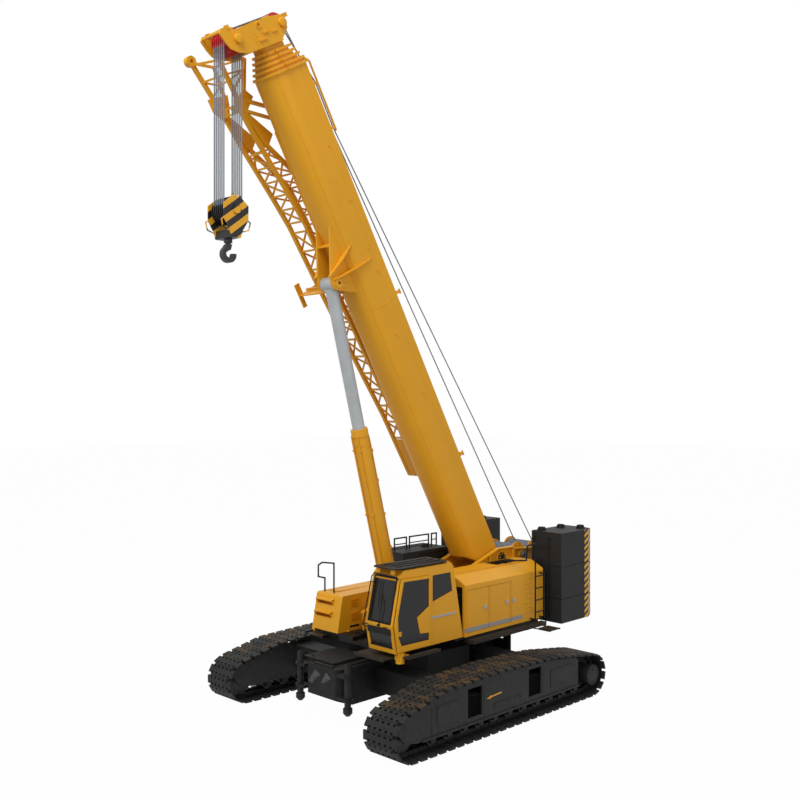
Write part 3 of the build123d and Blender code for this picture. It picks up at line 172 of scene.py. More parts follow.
# %% Floor
floor_mesh = bpy.data.meshes.new("floor")
FLOOR_HALF, FLOOR_GREY, FLOOR_BRIGHT = 120, 0.62, 0.98
corners = [(x * FLOOR_HALF, y * FLOOR_HALF, 0) for x, y in ((-1, -1), (1, -1), (1, 1), (-1, 1))]
floor_mesh.from_pydata(corners, [], [(0, 1, 2, 3)])
floor = bpy.data.objects.new("floor", floor_mesh)
scene.collection.objects.link(floor)
floor.location.z = -0.002
floor_material = bpy.data.materials.new("pale_floor")
floor_material.use_nodes = True
new, link = floor_material.node_tree.nodes.new, floor_material.node_tree.links.new
floor_material.node_tree.nodes.clear()
matt, bright = new("ShaderNodeBsdfDiffuse"), new("ShaderNodeEmission")
matt.inputs["Color"].default_value = (*[FLOOR_GREY] * 3, 1)
bright.inputs["Strength"].default_value = 1.0
share = new("ShaderNodeMath")
share.operation = "MULTIPLY"
share.inputs[1].default_value = FLOOR_BRIGHT
link(looked_at(new, link), share.inputs[0])
blend_shader = new("ShaderNodeMixShader")
link(share.outputs[0], blend_shader.inputs["Fac"])
link(matt.outputs[0], blend_shader.inputs[1])
link(bright.outputs[0], blend_shader.inputs[2])
link(blend_shader.outputs[0], new("ShaderNodeOutputMaterial").inputs["Surface"])
floor_mesh.materials.append(floor_material)
print("floor:", 2 * FLOOR_HALF, "m wide")

# %% [markdown]
# Paint on a machine is never one flat colour. It fades in broad patches, has a faint orange-peel
# bump, and gathers dust where a face looks up and near the ground. One recipe makes all the
# paints, so that they weather alike: a slow noise shifts the colour, a fine noise makes the bump,
# and the height alone brings the dust, in clumps.

# %% Paint recipe
def node_tree(name):
    """New material with an empty tree; gives the material, a maker of nodes, and its links."""
    material = bpy.data.materials.new(name)
    material.use_nodes = True
    tree = material.node_tree
    tree.nodes.clear()
    return material, tree.nodes.new, tree.links.new


def give(node, **values):
    """Sets sockets of a node by their names, with _ for a space."""
    for name, value in values.items():
        node.inputs[name.replace("_", " ")].default_value = value


def object_noise(new, link, scale, detail=4.0):
    """Noise fixed to the object itself, so that it rides with the piece."""
    place = new("ShaderNodeTexCoord")
    noise = new("ShaderNodeTexNoise")
    give(noise, Scale=scale, Detail=detail)
    link(place.outputs["Object"], noise.inputs["Vector"])
    return noise


def ramp(new, link, source, low, high, start, end):
    """Two-stop colour ramp driven by a value."""
    node = new("ShaderNodeValToRGB")
    for stop, colour, position in zip(node.color_ramp.elements, (low, high), (start, end)):
        stop.color = (*colour, 1)
        stop.position = position
    link(source, node.inputs["Fac"])
    return node.outputs["Color"]


def mix_colour(new, link, amount, first, second):
    """Mix of two colours by an amount; each may be a socket or a plain colour."""
    node = new("ShaderNodeMix")
    node.data_type = "RGBA"
    for name, value in (("Factor", amount), ("A", first), ("B", second)):
        socket = node.inputs[name]
        if isinstance(value, tuple):
            socket.default_value = (*value, 1)
        elif isinstance(value, (int, float)):
            socket.default_value = value
        else:
            link(value, socket)
    return node.outputs["Result"]


def maths(new, link, operation, first, second=0.0):
    """One sum; each side is a socket or a number."""
    node = new("ShaderNodeMath")
    node.operation = operation
    for socket, value in zip(node.inputs, (first, second)):
        if isinstance(value, (int, float)):
            socket.default_value = value
        else:
            link(value, socket)
    return node.outputs[0]


def axes(new, link):
    """X, Y and Z of the point on the object."""
    place, split = new("ShaderNodeTexCoord"), new("ShaderNodeSeparateXYZ")
    link(place.outputs["Object"], split.inputs[0])
    return [split.outputs[name] for name in "XYZ"]


def inside(new, link, low, high):
    """1 between two corners, else 0; None leaves a side open."""
    mask = None
    for axis, bottom, top in zip(axes(new, link), low, high):
        for limit, test in ((bottom, "GREATER_THAN"), (top, "LESS_THAN")):
            if limit is not None:
                step = maths(new, link, test, axis, limit)
                mask = step if mask is None else maths(new, link, "MULTIPLY", mask, step)
    return mask


DUST, DUST_TOP = (0.16, 0.12, 0.08), 1.6


def weathered(new, link, colour, dust_amount=0.2, patchy=0.05, zones=()):
    """Colour with faint faded patches, dust low down, and another colour in some zones."""
    patches = object_noise(new, link, 0.9, 5)
    faded = tuple(min(1, c * (1 + patchy)) for c in colour)
    deep = tuple(c * (1 - patchy) for c in colour)
    base = ramp(new, link, patches.outputs["Fac"], deep, faded, 0.32, 0.68)
    for low, high, other in zones:
        base = mix_colour(new, link, inside(new, link, low, high), base, other)
    height = new("ShaderNodeMapRange")
    give(height, From_Max=DUST_TOP, To_Min=1.0, To_Max=0.10)
    link(axes(new, link)[2], height.inputs["Value"])
    speckle = object_noise(new, link, 9, 8)
    clumps = ramp(new, link, speckle.outputs["Fac"], (0, 0, 0), (1, 1, 1), 0.42, 0.72)
    amount = maths(new, link, "MULTIPLY", height.outputs[0], clumps)
    return mix_colour(new, link, maths(new, link, "MULTIPLY", amount, dust_amount), base, DUST)


def surface(new, link, colour, rough, peel=0.05, peel_scale=140, metal=0.0, coat=0.0, shine=0.5):
    """Principled surface with uneven roughness and a fine bump."""
    shader = new("ShaderNodeBsdfPrincipled")
    link(colour, shader.inputs["Base Color"])
    give(shader, Metallic=metal, Coat_Weight=coat, Coat_Roughness=0.25, Specular_IOR_Level=shine)
    smear = object_noise(new, link, 6, 6)
    spread = new("ShaderNodeMapRange")
    give(spread, To_Min=rough - 0.07, To_Max=rough + 0.10)
    link(smear.outputs["Fac"], spread.inputs["Value"])
    link(spread.outputs[0], shader.inputs["Roughness"])
    grain = object_noise(new, link, peel_scale, 3)
    bump = new("ShaderNodeBump")
    give(bump, Strength=peel, Distance=0.004)
    link(grain.outputs["Fac"], bump.inputs["Height"])
    link(bump.outputs[0], shader.inputs["Normal"])
    link(shader.outputs[0], new("ShaderNodeOutputMaterial").inputs["Surface"])
    return shader


def paint(name, colour, rough, dust_amount, patchy, zones=(), **more):
    material, new, link = node_tree(name)
    colour = weathered(new, link, colour, dust_amount, patchy, zones)
    surface(new, link, colour, rough, **more)
    return material


# %% [markdown]
# Some nodes carry two colours: the engine house has a pale band along its foot, and the cab's door
# rail is bare metal. The deck is painted black under the yellow upper works, and that black is
# painted shade where the upper works shadow it. These are painted by zone, a box in the object's own
# coordinates, so no thin sheet has to float over another.

# %% Painted finishes
YELLOW = (0.80, 0.372, 0.012)
DARK = (0.018, 0.018, 0.0185)
BLACK = (0.006, 0.006, 0.006)
BAND = (0.32, 0.31, 0.30)
RAIL = (0.42, 0.43, 0.44)
SATIN = {"coat": 0.03, "shine": 0.3}
# Black below the deck's top edge, z 1.605, is painted shade where the upper works shadow the deck.
deck_shade_zone = ((None, None, None), (None, None, 1.605), BLACK)
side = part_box("left_housing")[1].y
band_zone = ((SLEW_X - 2.25, side - 0.03, 1.695), (SLEW_X - 0.10, None, 1.790), BAND)
rail_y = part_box("cab_shell")[1].y - 0.012
rail_zone = ((SLEW_X + 0.14, rail_y, 2.176), (SLEW_X + 0.966, None, 2.224), RAIL)
step_zone = ((None, None, None), (None, None, 1.70), BLACK)

# Colour, roughness, dust, patches, zones, and what else the surface is given.
recipes = {
    "yellow_paint": (YELLOW, 0.46, 0.10, 0.035, (), SATIN),
    # The deck's black zone is painted shade.
    "deck_paint_with_painted_shade": (YELLOW, 0.44, 0.10, 0.035, (deck_shade_zone,), SATIN),
    "housing_paint": (YELLOW, 0.44, 0.10, 0.035, (band_zone,), SATIN),
    "cab_paint": (YELLOW, 0.42, 0.10, 0.03, (rail_zone,), SATIN),
    "steps_paint": (YELLOW, 0.44, 0.10, 0.035, (step_zone,), SATIN),
    "dark_grey_paint": (DARK, 0.60, 0.12, 0.10, (), {"shine": 0.22}),
    "body_black": ((0.009, 0.009, 0.009), 0.60, 0.10, 0.15, (), {"shine": 0.2}),
    # Near-black and matt: painted shade, used for the plates deep in the frame's windows.
    "painted_shade_black": ((0.0015, 0.0015, 0.0015), 0.9, 0.02, 0.2, (), {"shine": 0.05}),
    "black_paint": (BLACK, 0.55, 0.10, 0.10, (), {"shine": 0.25}),
    "tread_paint": ((0.030, 0.022, 0.014), 0.7, 0.25, 0.3, (),
                    {"shine": 0.3, "peel": 0.5, "peel_scale": 45}),
    "red_paint": ((0.56, 0.010, 0.016), 0.42, 0.05, 0.05, (), {"coat": 0.1}),
    "engine_iron": ((0.10, 0.11, 0.12), 0.6, 0.2, 0.2, (), {}),
    "forged_steel": ((0.020, 0.020, 0.022), 0.5, 0.1, 0.1, (), {"peel": 0.25, "peel_scale": 60}),
    "pale_metal": ((0.42, 0.43, 0.45), 0.4, 0.05, 0.05, (), {}),
    "nose_paint": ((0.060, 0.064, 0.068), 0.55, 0.1, 0.1, (), {"shine": 0.3}),
    "rubber_seal": ((0.010, 0.010, 0.010), 0.8, 0.05, 0.2, (),
                    {"peel": 0.3, "peel_scale": 90, "shine": 0.2}),
}
finish = {name: paint(name, *values, **more) for name, (*values, more) in recipes.items()}
print("paints:", sorted(finish))

# %% [markdown]
# Bare steel wants its own looks. The shoes of a crawler are cast steel that rubs bright on its
# high faces and holds brown earth in its low ones. The rod of the luffing cylinder is ground and
# chromed, so it is smooth and pale. Rope is many thin wires laid in a spiral, which a slanting
# wave bump gives at this distance.

# %% Bare metal, glass, rope and cloth
def shoe_steel():
    """Dark cast steel; earth lies on the faces that look up."""
    material, new, link = node_tree("track_steel")
    earth = object_noise(new, link, 3.2, 9)
    place, split = new("ShaderNodeTexCoord"), new("ShaderNodeSeparateXYZ")
    link(place.outputs["Normal"], split.inputs[0])
    up = new("ShaderNodeMapRange")
    give(up, From_Min=0.90)
    link(split.outputs["Z"], up.inputs["Value"])
    clods = ramp(new, link, earth.outputs["Fac"], (0, 0, 0), (1, 1, 1), 0.48, 0.60)
    iron = ramp(new, link, earth.outputs["Fac"], (0.011, 0.011, 0.011), (0.026, 0.025, 0.024), 0.3, 0.8)
    upper_run = maths(new, link, "GREATER_THAN", axes(new, link)[2], 0.55)
    amount = maths(new, link, "MULTIPLY", maths(new, link, "MULTIPLY", up.outputs[0], clods), upper_run)
    amount = maths(new, link, "MULTIPLY", amount, 0.8)
    colour = mix_colour(new, link, amount, iron, (0.088, 0.050, 0.015))
    surface(new, link, colour, 0.66, peel=0.35, peel_scale=50, metal=0.1, shine=0.3)
    return material


def greased_steel():
    material, new, link = node_tree("running_steel")
    film = object_noise(new, link, 22, 5)
    colour = ramp(new, link, film.outputs["Fac"], (0.016, 0.016, 0.016), (0.045, 0.044, 0.042), 0.38, 0.70)
    surface(new, link, colour, 0.45, peel=0.15, peel_scale=70, metal=0.4)
    return material


def chromed_rod():
    material, new, link = node_tree("chromed_rod")
    film = object_noise(new, link, 4, 3)
    colour = ramp(new, link, film.outputs["Fac"], (0.40, 0.42, 0.43), (0.46, 0.48, 0.49), 0.3, 0.7)
    surface(new, link, colour, 0.40, peel=0.02, peel_scale=300, metal=0.2)
    return material


def wire_rope():
    material, new, link = node_tree("wire_rope")
    place = new("ShaderNodeTexCoord")
    lay = new("ShaderNodeTexWave")
    lay.bands_direction = "DIAGONAL"
    give(lay, Scale=20, Distortion=0.6)
    link(place.outputs["Object"], lay.inputs["Vector"])
    colour = ramp(new, link, lay.outputs["Fac"], (0.190, 0.215, 0.250), (0.245, 0.275, 0.310), 0.2, 0.8)
    shader = surface(new, link, colour, 0.65, shine=0.2)
    bump = new("ShaderNodeBump")
    give(bump, Strength=0.12, Distance=0.002)
    link(lay.outputs["Fac"], bump.inputs["Height"])
    link(bump.outputs[0], shader.inputs["Normal"])
    return material


def tinted_glass():
    material, new, link = node_tree("window_glass")
    shader = new("ShaderNodeBsdfPrincipled")
    film = object_noise(new, link, 2.5, 3)
    colour = ramp(new, link, film.outputs["Fac"], (0.012, 0.012, 0.013), (0.018, 0.018, 0.019), 0.3, 0.7)
    link(colour, shader.inputs["Base Color"])
    smear = new("ShaderNodeMapRange")
    give(smear, To_Min=0.10, To_Max=0.20)
    link(film.outputs["Fac"], smear.inputs["Value"])
    link(smear.outputs[0], shader.inputs["Roughness"])
    give(shader, Alpha=0.90, Specular_IOR_Level=0.3)
    link(shader.outputs[0], new("ShaderNodeOutputMaterial").inputs["Surface"])
    return material


def seat_cloth():
    material, new, link = node_tree("seat_fabric")
    place = new("ShaderNodeTexCoord")
    weave = new("ShaderNodeTexChecker")
    give(weave, Scale=260, Color1=(0.030, 0.031, 0.036, 1), Color2=(0.048, 0.050, 0.056, 1))
    link(place.outputs["Object"], weave.inputs["Vector"])
    surface(new, link, weave.outputs["Color"], 0.86, peel=0.3, peel_scale=400)
    return material


finish.update(track_steel=shoe_steel(), running_steel=greased_steel(), chromed_rod=chromed_rod(),
              wire_rope=wire_rope(), window_glass=tinted_glass(), seat_fabric=seat_cloth())
print("finishes:", len(finish))

# %% [markdown]
# Warning stripes are painted over the plain colour. They need no picture: a slanting coordinate,
# cut into whole steps, is yellow on one step and black on the next. On the hook block only the
# two outer faces are striped, so the sheaves between them keep their black.

# %% Warning stripes
def striped(name, width, slope, dark, only_beyond=None):
    """Slanting yellow and dark bands in the XZ plane; only_beyond keeps them to large |y|."""
    material, new, link = node_tree(name)
    x, y, z = axes(new, link)
    slanted = maths(new, link, "ADD", z, maths(new, link, "MULTIPLY", x, slope))
    turns = maths(new, link, "FRACT", maths(new, link, "DIVIDE", slanted, width))
    band = maths(new, link, "GREATER_THAN", turns, 0.5)
    if only_beyond:
        outer = maths(new, link, "GREATER_THAN", maths(new, link, "ABSOLUTE", y), only_beyond)
        band = maths(new, link, "MULTIPLY", band, outer)
    yellow = weathered(new, link, (0.82, 0.40, 0.02), dust_amount=0.04)
    surface(new, link, mix_colour(new, link, band, dark, yellow), 0.46, shine=0.4)
    return material


finish["hook_stripes"] = striped("hook_stripes", 0.30, 0.75, (0.010, 0.010, 0.010), only_beyond=0.252)
finish["edge_stripes"] = striped("edge_stripes", 0.157, 0.55, (0.016, 0.016, 0.016))

# %% [markdown]
# Dressing is one lookup: the record names a slot for each node, and a short table says which
# nodes wear a two-colour or darker version of it.

# %% Dress the CAD nodes
OWN_LOOK = {"hook_block": "hook_stripes", "turntable": "deck_paint_with_painted_shade", "left_housing": "housing_paint",
            "housing_door_front": "housing_paint", "housing_door_rear": "housing_paint",
            "cab_shell": "cab_paint", "right_steps": "steps_paint", "cab_guard": "black_paint",
            "walkway": "tread_paint", "cab_steps": "tread_paint", "ladder": "black_paint",
            "deck_rails": "black_paint", "jack_barrels": "dark_grey_paint", "car_body": "body_black"}
slots = {part["node"]: part["material_slot"] for part in frame["record"]["subparts"]}
for name, node in frame["nodes"].items():
    node.data.materials.clear()
    node.data.materials.append(finish[OWN_LOOK.get(name, slots[name])])
print("dressed nodes:", len(slots))

# %% [markdown]
# Most added pieces are many small plates and rods that belong together. Each group is one mesh,
# filled by a few helpers: a box, a rod, a path of rods, a shell between two matching outlines, a
# skin over a row of rings, and bolt heads. The last argument, turn, sets a shape in another frame.

# %% Helpers that fill a mesh
LEVEL = Matrix.Identity(4)


def add_box(mesh, low, high, turn=LEVEL):
    low, high = Vector(low), Vector(high)
    middle, size = (low + high) / 2, high - low
    fitted = Matrix.Translation(middle) @ Matrix.Diagonal((*[abs(v) for v in size], 1))
    bmesh.ops.create_cube(mesh, size=1, matrix=turn @ fitted)


def add_rod(mesh, start, end, radius, sides=12, turn=LEVEL):
    start, end = turn @ Vector(start), turn @ Vector(end)
    along = end - start
    place = Matrix.Translation((start + end) / 2) @ along.to_track_quat("Z", "Y").to_matrix().to_4x4()
    bmesh.ops.create_cone(mesh, cap_ends=True, segments=sides, radius1=radius, radius2=radius,
                          depth=along.length, matrix=place)


def add_path(mesh, points, radius, sides=10, turn=LEVEL):
    """Rods through the points, with a ball at each bend."""
    for start, end in zip(points, points[1:]):
        add_rod(mesh, start, end, radius, sides, turn)
    for point in points[1:-1]:
        bmesh.ops.create_uvsphere(mesh, u_segments=sides, v_segments=sides // 2, radius=radius,
                                  matrix=Matrix.Translation(turn @ Vector(point)))


def add_shell(mesh, near, far, turn=LEVEL):
    """Closed plate between two matching outlines."""
    near = [mesh.verts.new(turn @ Vector(point)) for point in near]
    far = [mesh.verts.new(turn @ Vector(point)) for point in far]
    mesh.faces.new(near)
    mesh.faces.new(reversed(far))
    for i in range(len(near)):
        j = (i + 1) % len(near)
        mesh.faces.new((near[j], near[i], far[i], far[j]))


def add_prism(mesh, outline, low, high, turn=LEVEL):
    """Plate from an XZ outline, from y low to y high."""
    add_shell(mesh, [(x, low, z) for x, z in outline], [(x, high, z) for x, z in outline], turn)


def add_rings(mesh, rings, turn=LEVEL):
    """Skin over a row of rings, closed at both ends."""
    rings = [[mesh.verts.new(turn @ point) for point in ring] for ring in rings]
    for one, two in zip(rings, rings[1:]):
        for i in range(len(one)):
            j = (i + 1) % len(one)
            mesh.faces.new((one[i], one[j], two[j], two[i]))
    mesh.faces.new(reversed(rings[0]))
    mesh.faces.new(rings[-1])


def add_bolts(mesh, points, axis, radius=0.014, height=0.012, turn=LEVEL):
    """Hexagon heads standing on the given points along an axis."""
    for point in points:
        add_rod(mesh, point, Vector(point) + Vector(axis) * height, radius, 6, turn)


def ring_of(centre, radius, count, plane="xz", first=0.0):
    """Points evenly round a circle."""
    points = []
    for k in range(count):
        a = first + 2 * math.pi * k / count
        u, v = radius * math.cos(a), radius * math.sin(a)
        step = {"xz": (u, 0, v), "yz": (0, u, v), "xy": (u, v, 0)}[plane]
        points.append(Vector(centre) + Vector(step))
    return points


def piece(name, mesh, look, body, bevel=0.0, smooth=False):
    """Turns a filled mesh into an object that rides on a body; no body leaves it free."""
    bmesh.ops.recalc_face_normals(mesh, faces=mesh.faces)
    data = bpy.data.meshes.new(name)
    mesh.to_mesh(data)
    mesh.free()
    data.materials.append(finish[look])
    made = bpy.data.objects.new(name, data)
    scene.collection.objects.link(made)
    if bevel:
        edge = made.modifiers.new("soft_edges", "BEVEL")
        edge.width = bevel
        edge.segments = 2
        edge.limit_method = "ANGLE"
    if smooth:
        data.shade_smooth()
    if body:
        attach(made, body)
    print("made", name, "faces", len(data.polygons))
    return made


# %% [markdown]
# A crawler belt is a chain of cast shoes. Each shoe is a wide flat plate with cut corners and a
# row of square slots along both long edges, bolted to two rows of links. The belt runs round two
# wheels and over three carrier rollers, so its path is tangent lines and arcs. Walking along that
# path places a shoe at each pitch. A slot is what is left open between short bridges.

# %% Path of the belt
track_low, track_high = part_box("track_loop_left")
TRACK_Y = (track_low.y + track_high.y) / 2
SHOE_HALF = (track_high.y - track_low.y) / 2
WHEEL_R = 0.490
WHEEL_REACH = 3.015
LINK_DEPTH = 0.130
CARRIER_R = 0.080
CARRIERS = [(2.0, 1.215), (0.3, 1.268), (-1.5, 1.195)]  # x from the slewing axis, top of the shoes
SHOES = 57


def belt_runs():
    """The belt as (length, place) pairs, where place(f) gives a point and the outward direction."""
    over = CARRIER_R + LINK_DEPTH
    wheels = [(-WHEEL_REACH, WHEEL_R, WHEEL_R), (WHEEL_REACH, WHEEL_R, WHEEL_R)]
    wheels += [(x, top - over, over) for x, top in CARRIERS]
    count = len(wheels)
    turns = []
    for i, (ax, az, ar) in enumerate(wheels):
        bx, bz, br = wheels[(i + 1) % count]
        reach = math.hypot(bx - ax, bz - az)
        turns.append(math.atan2(bz - az, bx - ax) - math.acos((ar - br) / reach))
    runs = []
    for i, (ax, az, ar) in enumerate(wheels):
        bx, bz, br = wheels[(i + 1) % count]
        out = Vector((math.cos(turns[i]), 0, math.sin(turns[i])))
        start, end = Vector((ax, 0, az)) + out * ar, Vector((bx, 0, bz)) + out * br
        runs.append(((end - start).length, lambda f, a=start, b=end, o=out: (a.lerp(b, f), o)))
        sweep = (turns[(i + 1) % count] - turns[i]) % (2 * math.pi)

        def arc(f, x=bx, z=bz, r=br, first=turns[i], angle=sweep):
            o = Vector((math.cos(first + angle * f), 0, math.sin(first + angle * f)))
            return Vector((x, 0, z)) + o * r, o

        runs.append((br * sweep, arc))
    return runs


def on_belt(distance, runs):
    distance %= sum(length for length, _ in runs)
    for length, place in runs:
        if distance <= length:
            return place(distance / length)
        distance -= length


runs = belt_runs()
PITCH = sum(length for length, _ in runs) / SHOES
print("belt", round(PITCH * SHOES, 3), "m, shoe pitch", round(PITCH, 3))

# %% [markdown]
# A shoe is drawn lying flat with its tread at z = 0, and set at each pitch by a matrix made from
# the belt's direction there, so straight runs and bends need no different code. Every shoe
# carries eight bolt heads, two links and the pin that joins it to the next.

# %% Shoes and links of both belts
SLOT_BRIDGES = ((-0.268, -0.182), (-0.118, -0.032), (0.032, 0.118), (0.182, 0.268))


def belt(side):
    mesh = bmesh.new()
    for k in range(SHOES):
        ahead, _ = on_belt((k + 0.97) * PITCH, runs)
        behind, _ = on_belt((k + 0.03) * PITCH, runs)
        middle, out = on_belt((k + 0.5) * PITCH, runs)
        forward = (ahead - behind).normalized()
        up = Vector((-forward.z, 0, forward.x))
        up = up if up.dot(out) > 0 else -up
        base = (ahead + behind) / 2
        turn = Matrix(((forward.x, 0, up.x, base.x + SLEW_X),
                       (0, 1, 0, side * TRACK_Y),
                       (forward.z, 0, up.z, base.z), (0, 0, 0, 1)))
        long = PITCH / 2
        core = SHOE_HALF - 0.105
        add_box(mesh, (-long + 0.078, -core, -0.044), (long - 0.078, core, -0.002), turn)
        add_box(mesh, (-long + 0.012, -core - 0.02, -0.054), (long - 0.012, core + 0.02, -0.043), turn)
        for end in (-1, 1):
            inner, outer = end * (long - 0.034), end * (long - 0.007)
            add_box(mesh, (inner, -core, -0.044), (outer, core, -0.002), turn)
            inner, outer = end * (long - 0.080), end * (long - 0.032)
            for y0, y1 in ((-core, -0.332), *SLOT_BRIDGES, (0.332, core)):
                add_box(mesh, (inner, y0, -0.044), (outer, y1, -0.002), turn)
            low, high = end * core, end * SHOE_HALF
            add_box(mesh, (-long + 0.042, low, -0.044), (long - 0.042, high, -0.002), turn)
        for x, shift in ((-0.026, 0.0), (0.026, 0.06)):
            for y in (-0.26, -0.14, 0.08, 0.20):
                add_rod(mesh, (x, y + shift, -0.013), (x, y + shift, 0.0), 0.011, 6, turn)
        for y in (-0.105, 0.105):
            add_box(mesh, (-long - 0.012, y - 0.026, -0.130), (long - 0.022, y + 0.026, -0.046), turn)
        add_rod(mesh, (long - 0.04, -0.14, -0.088), (long - 0.04, 0.14, -0.088), 0.024, 8, turn)
    return mesh


for side, label in ((1, "left"), (-1, "right")):
    shoes = piece(f"track_shoes_{label}", belt(side), "track_steel", "undercarriage")
    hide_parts(f"track_loop_{label}")

# %% [markdown]
# The side frame of a crawler is a welded box with covers, seams and a small arrow that shows which
# way is forward. The covers are thin plates with rows of bolts; the hub of the final drive has a
# ring of bolts and a filler plug. Near-black plates deep in the frame's two windows are painted
# shade, darkening the openings.

# %% Covers, bolts and arrow of the track frames
FRAME_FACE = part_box("track_frames")[1].y - 0.025
HUB_X, HUB_FACE = -3.015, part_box("final_drives")[1].y
ARROW = [(0.78, 0.745), (0.62, 0.800), (0.64, 0.775), (0.30, 0.800), (0.30, 0.770), (0.65, 0.745),
         (0.64, 0.725)]
for side, label in ((1, "left"), (-1, "right")):
    mesh = bmesh.new()
    face, hub = side * FRAME_FACE, side * HUB_FACE
    cover = face + side * 0.010
    for x0, x1, z0, z1 in ((1.62, 2.28, 0.50, 0.93), (-0.40, 0.55, 0.50, 0.60), (-2.30, -1.42, 0.52, 0.90)):
        add_box(mesh, (x0, face, z0), (x1, cover, z1), DECK)
        heads = [(x, cover, z) for x in (x0 + 0.05, (x0 + x1) / 2, x1 - 0.05) for z in (z0 + 0.04, z1 - 0.04)]
        add_bolts(mesh, heads, (0, side, 0), 0.014, 0.010, DECK)
    for x, z in ((2.42, 0.92), (0.86, 1.06), (-1.14, 1.06)):
        add_box(mesh, (x, face, 0.40), (x + 0.014, face + side * 0.006, z), DECK)
    add_bolts(mesh, ring_of((HUB_X, hub, 0.49), 0.19, 16), (0, side, 0), 0.015, 0.014, DECK)
    add_rod(mesh, (HUB_X, hub, 0.60), (HUB_X, hub + side * 0.030, 0.60), 0.022, 6, DECK)
    piece(f"track_frame_covers_{label}", mesh, "dark_grey_paint", "undercarriage", bevel=0.003)
    mesh = bmesh.new()
    add_prism(mesh, ARROW, face, face + side * 0.003, DECK)
    piece(f"travel_arrow_{label}", mesh, "yellow_paint", "undercarriage")
    mesh = bmesh.new()
    # Painted shade: near-black plates stand deep in each window in place of the shade inside it.
    back, front = face - side * 0.040, face - side * 0.036
    for x in (1.146, -0.857):
        add_box(mesh, (x - 0.216, back, 0.472), (x + 0.216, front, 0.880), DECK)
        add_box(mesh, (x - 0.216, back, 0.640), (x + 0.216, front + (0.004 if side > 0 else 0), 0.660), DECK)
    piece(f"frame_window_painted_shade_{label}", mesh, "painted_shade_black", "undercarriage")

# %% [markdown]
# The nose of the car body carries two folded gusset plates and, on top, the hoses that feed the
# jacks. Folded plates are two flat faces that share a raised ridge, so each is a four-sided
# pyramid standing on the nose.

# %% Gussets, hoses and bolts of the car body
NOSE_FACE = SLEW_X + 2.68
mesh = bmesh.new()
for outline, ridge in ((((-0.467, 0.783), (-0.187, 1.128), (0.006, 1.023), (-0.326, 0.74)), (-0.17, 0.95)),
                       (((-0.048, 0.816), (0.170, 1.127), (0.359, 0.989), (0.116, 0.85)), (0.21, 0.98))):
    outline = [(ridge[0] + 0.84 * (y - ridge[0]), ridge[1] + 0.84 * (z - ridge[1])) for y, z in outline]
    foot = [mesh.verts.new((NOSE_FACE, y - 0.02, z)) for y, z in outline]
    peak = mesh.verts.new((NOSE_FACE + 0.050, ridge[0] - 0.02, ridge[1]))
    mesh.faces.new(foot)
    for i in range(4):
        mesh.faces.new((foot[i], foot[(i + 1) % 4], peak))
piece("nose_gussets", mesh, "nose_paint", "undercarriage")

mesh = bmesh.new()
JACK_X, JACK_Y = 2.62, 0.776
for y in (-0.40, 0.40):
    add_bolts(mesh, [(2.05, y, 1.210), (2.35, y, 1.210)], (0, 0, 1), 0.020, 0.016, DECK)
for end in (-1, 1):
    for side in (-1, 1):
        x, y = end * JACK_X, side * JACK_Y
        add_rod(mesh, (x, y, 1.365), (x, y, 1.40), 0.018, 8, DECK)
        route = [(x, y, 1.39), (end * 2.50, y, 1.39), (end * 2.44, side * 0.70, 1.34),
                 (end * 2.40, side * 0.52, 1.26), (end * 2.20, side * 0.44, 1.23), (end * 1.40, side * 0.40, 1.225)]
        add_path(mesh, route, 0.014, 8, DECK)
for x0, x1 in ((-2.64, -2.55), (2.55, 2.64)):
    add_box(mesh, (x0, -0.30, 1.21), (x1, 0.30, 1.235), DECK)
add_bolts(mesh, ring_of((0, 0, 1.30), 0.92, 28, "xy", math.pi / 28), (0, 0, 1), 0.020, 0.025, DECK)
piece("car_body_fittings", mesh, "black_paint", "undercarriage")

# %% [markdown]
# At the rear, upright plates close the car body beside its nose, with a gap left open in each, and
# a floor plate runs forward from their foot.

# %% Guard plates at the rear of the car body
GUARD_FOOT = 0.56
mesh = bmesh.new()
for side in (-1, 1):
    for y0, y1, z0, z1 in ((0.53, 0.68, GUARD_FOOT, 1.245), (0.85, 1.055, GUARD_FOOT, 1.245),
                           (0.68, 0.85, GUARD_FOOT, 1.05), (0.68, 0.85, 1.13, 1.245)):
        add_box(mesh, (-2.470, side * y0, z0), (-2.430, side * y1, z1), DECK)
    add_box(mesh, (-2.46, side * 0.50, GUARD_FOOT), (-1.55, side * 1.055, 0.60), DECK)
piece("car_body_guards", mesh, "body_black", "undercarriage")

# %% [markdown]
# The engine house is plain sheet, so its small hardware carries the scale: recessed paddle
# latches, a gutter strip along the shoulder with hinge knuckles, cooling louvres toward the cab
# and lifting eyes on the roof.

# %% Latches, gutter and louvres of the engine house
HOUSE_Y, HOUSE_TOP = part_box("left_housing")[1].yz
for name, body, x in (("latch_front_door", "housing_door_front", -0.855),
                      ("latch_rear_door", "housing_door_rear", -1.635), ("latch_panel", "upper", -1.897)):
    mesh = bmesh.new()
    add_box(mesh, (x - 0.048, HOUSE_Y - 0.002, 2.142), (x + 0.048, HOUSE_Y + 0.008, 2.226), DECK)
    add_box(mesh, (x - 0.030, HOUSE_Y + 0.006, 2.154), (x + 0.030, HOUSE_Y + 0.015, 2.200), DECK)
    add_rod(mesh, (x + 0.012, HOUSE_Y + 0.006, 2.213), (x + 0.012, HOUSE_Y + 0.013, 2.213), 0.009, 12, DECK)
    piece(name, mesh, "pale_metal", body, bevel=0.003)

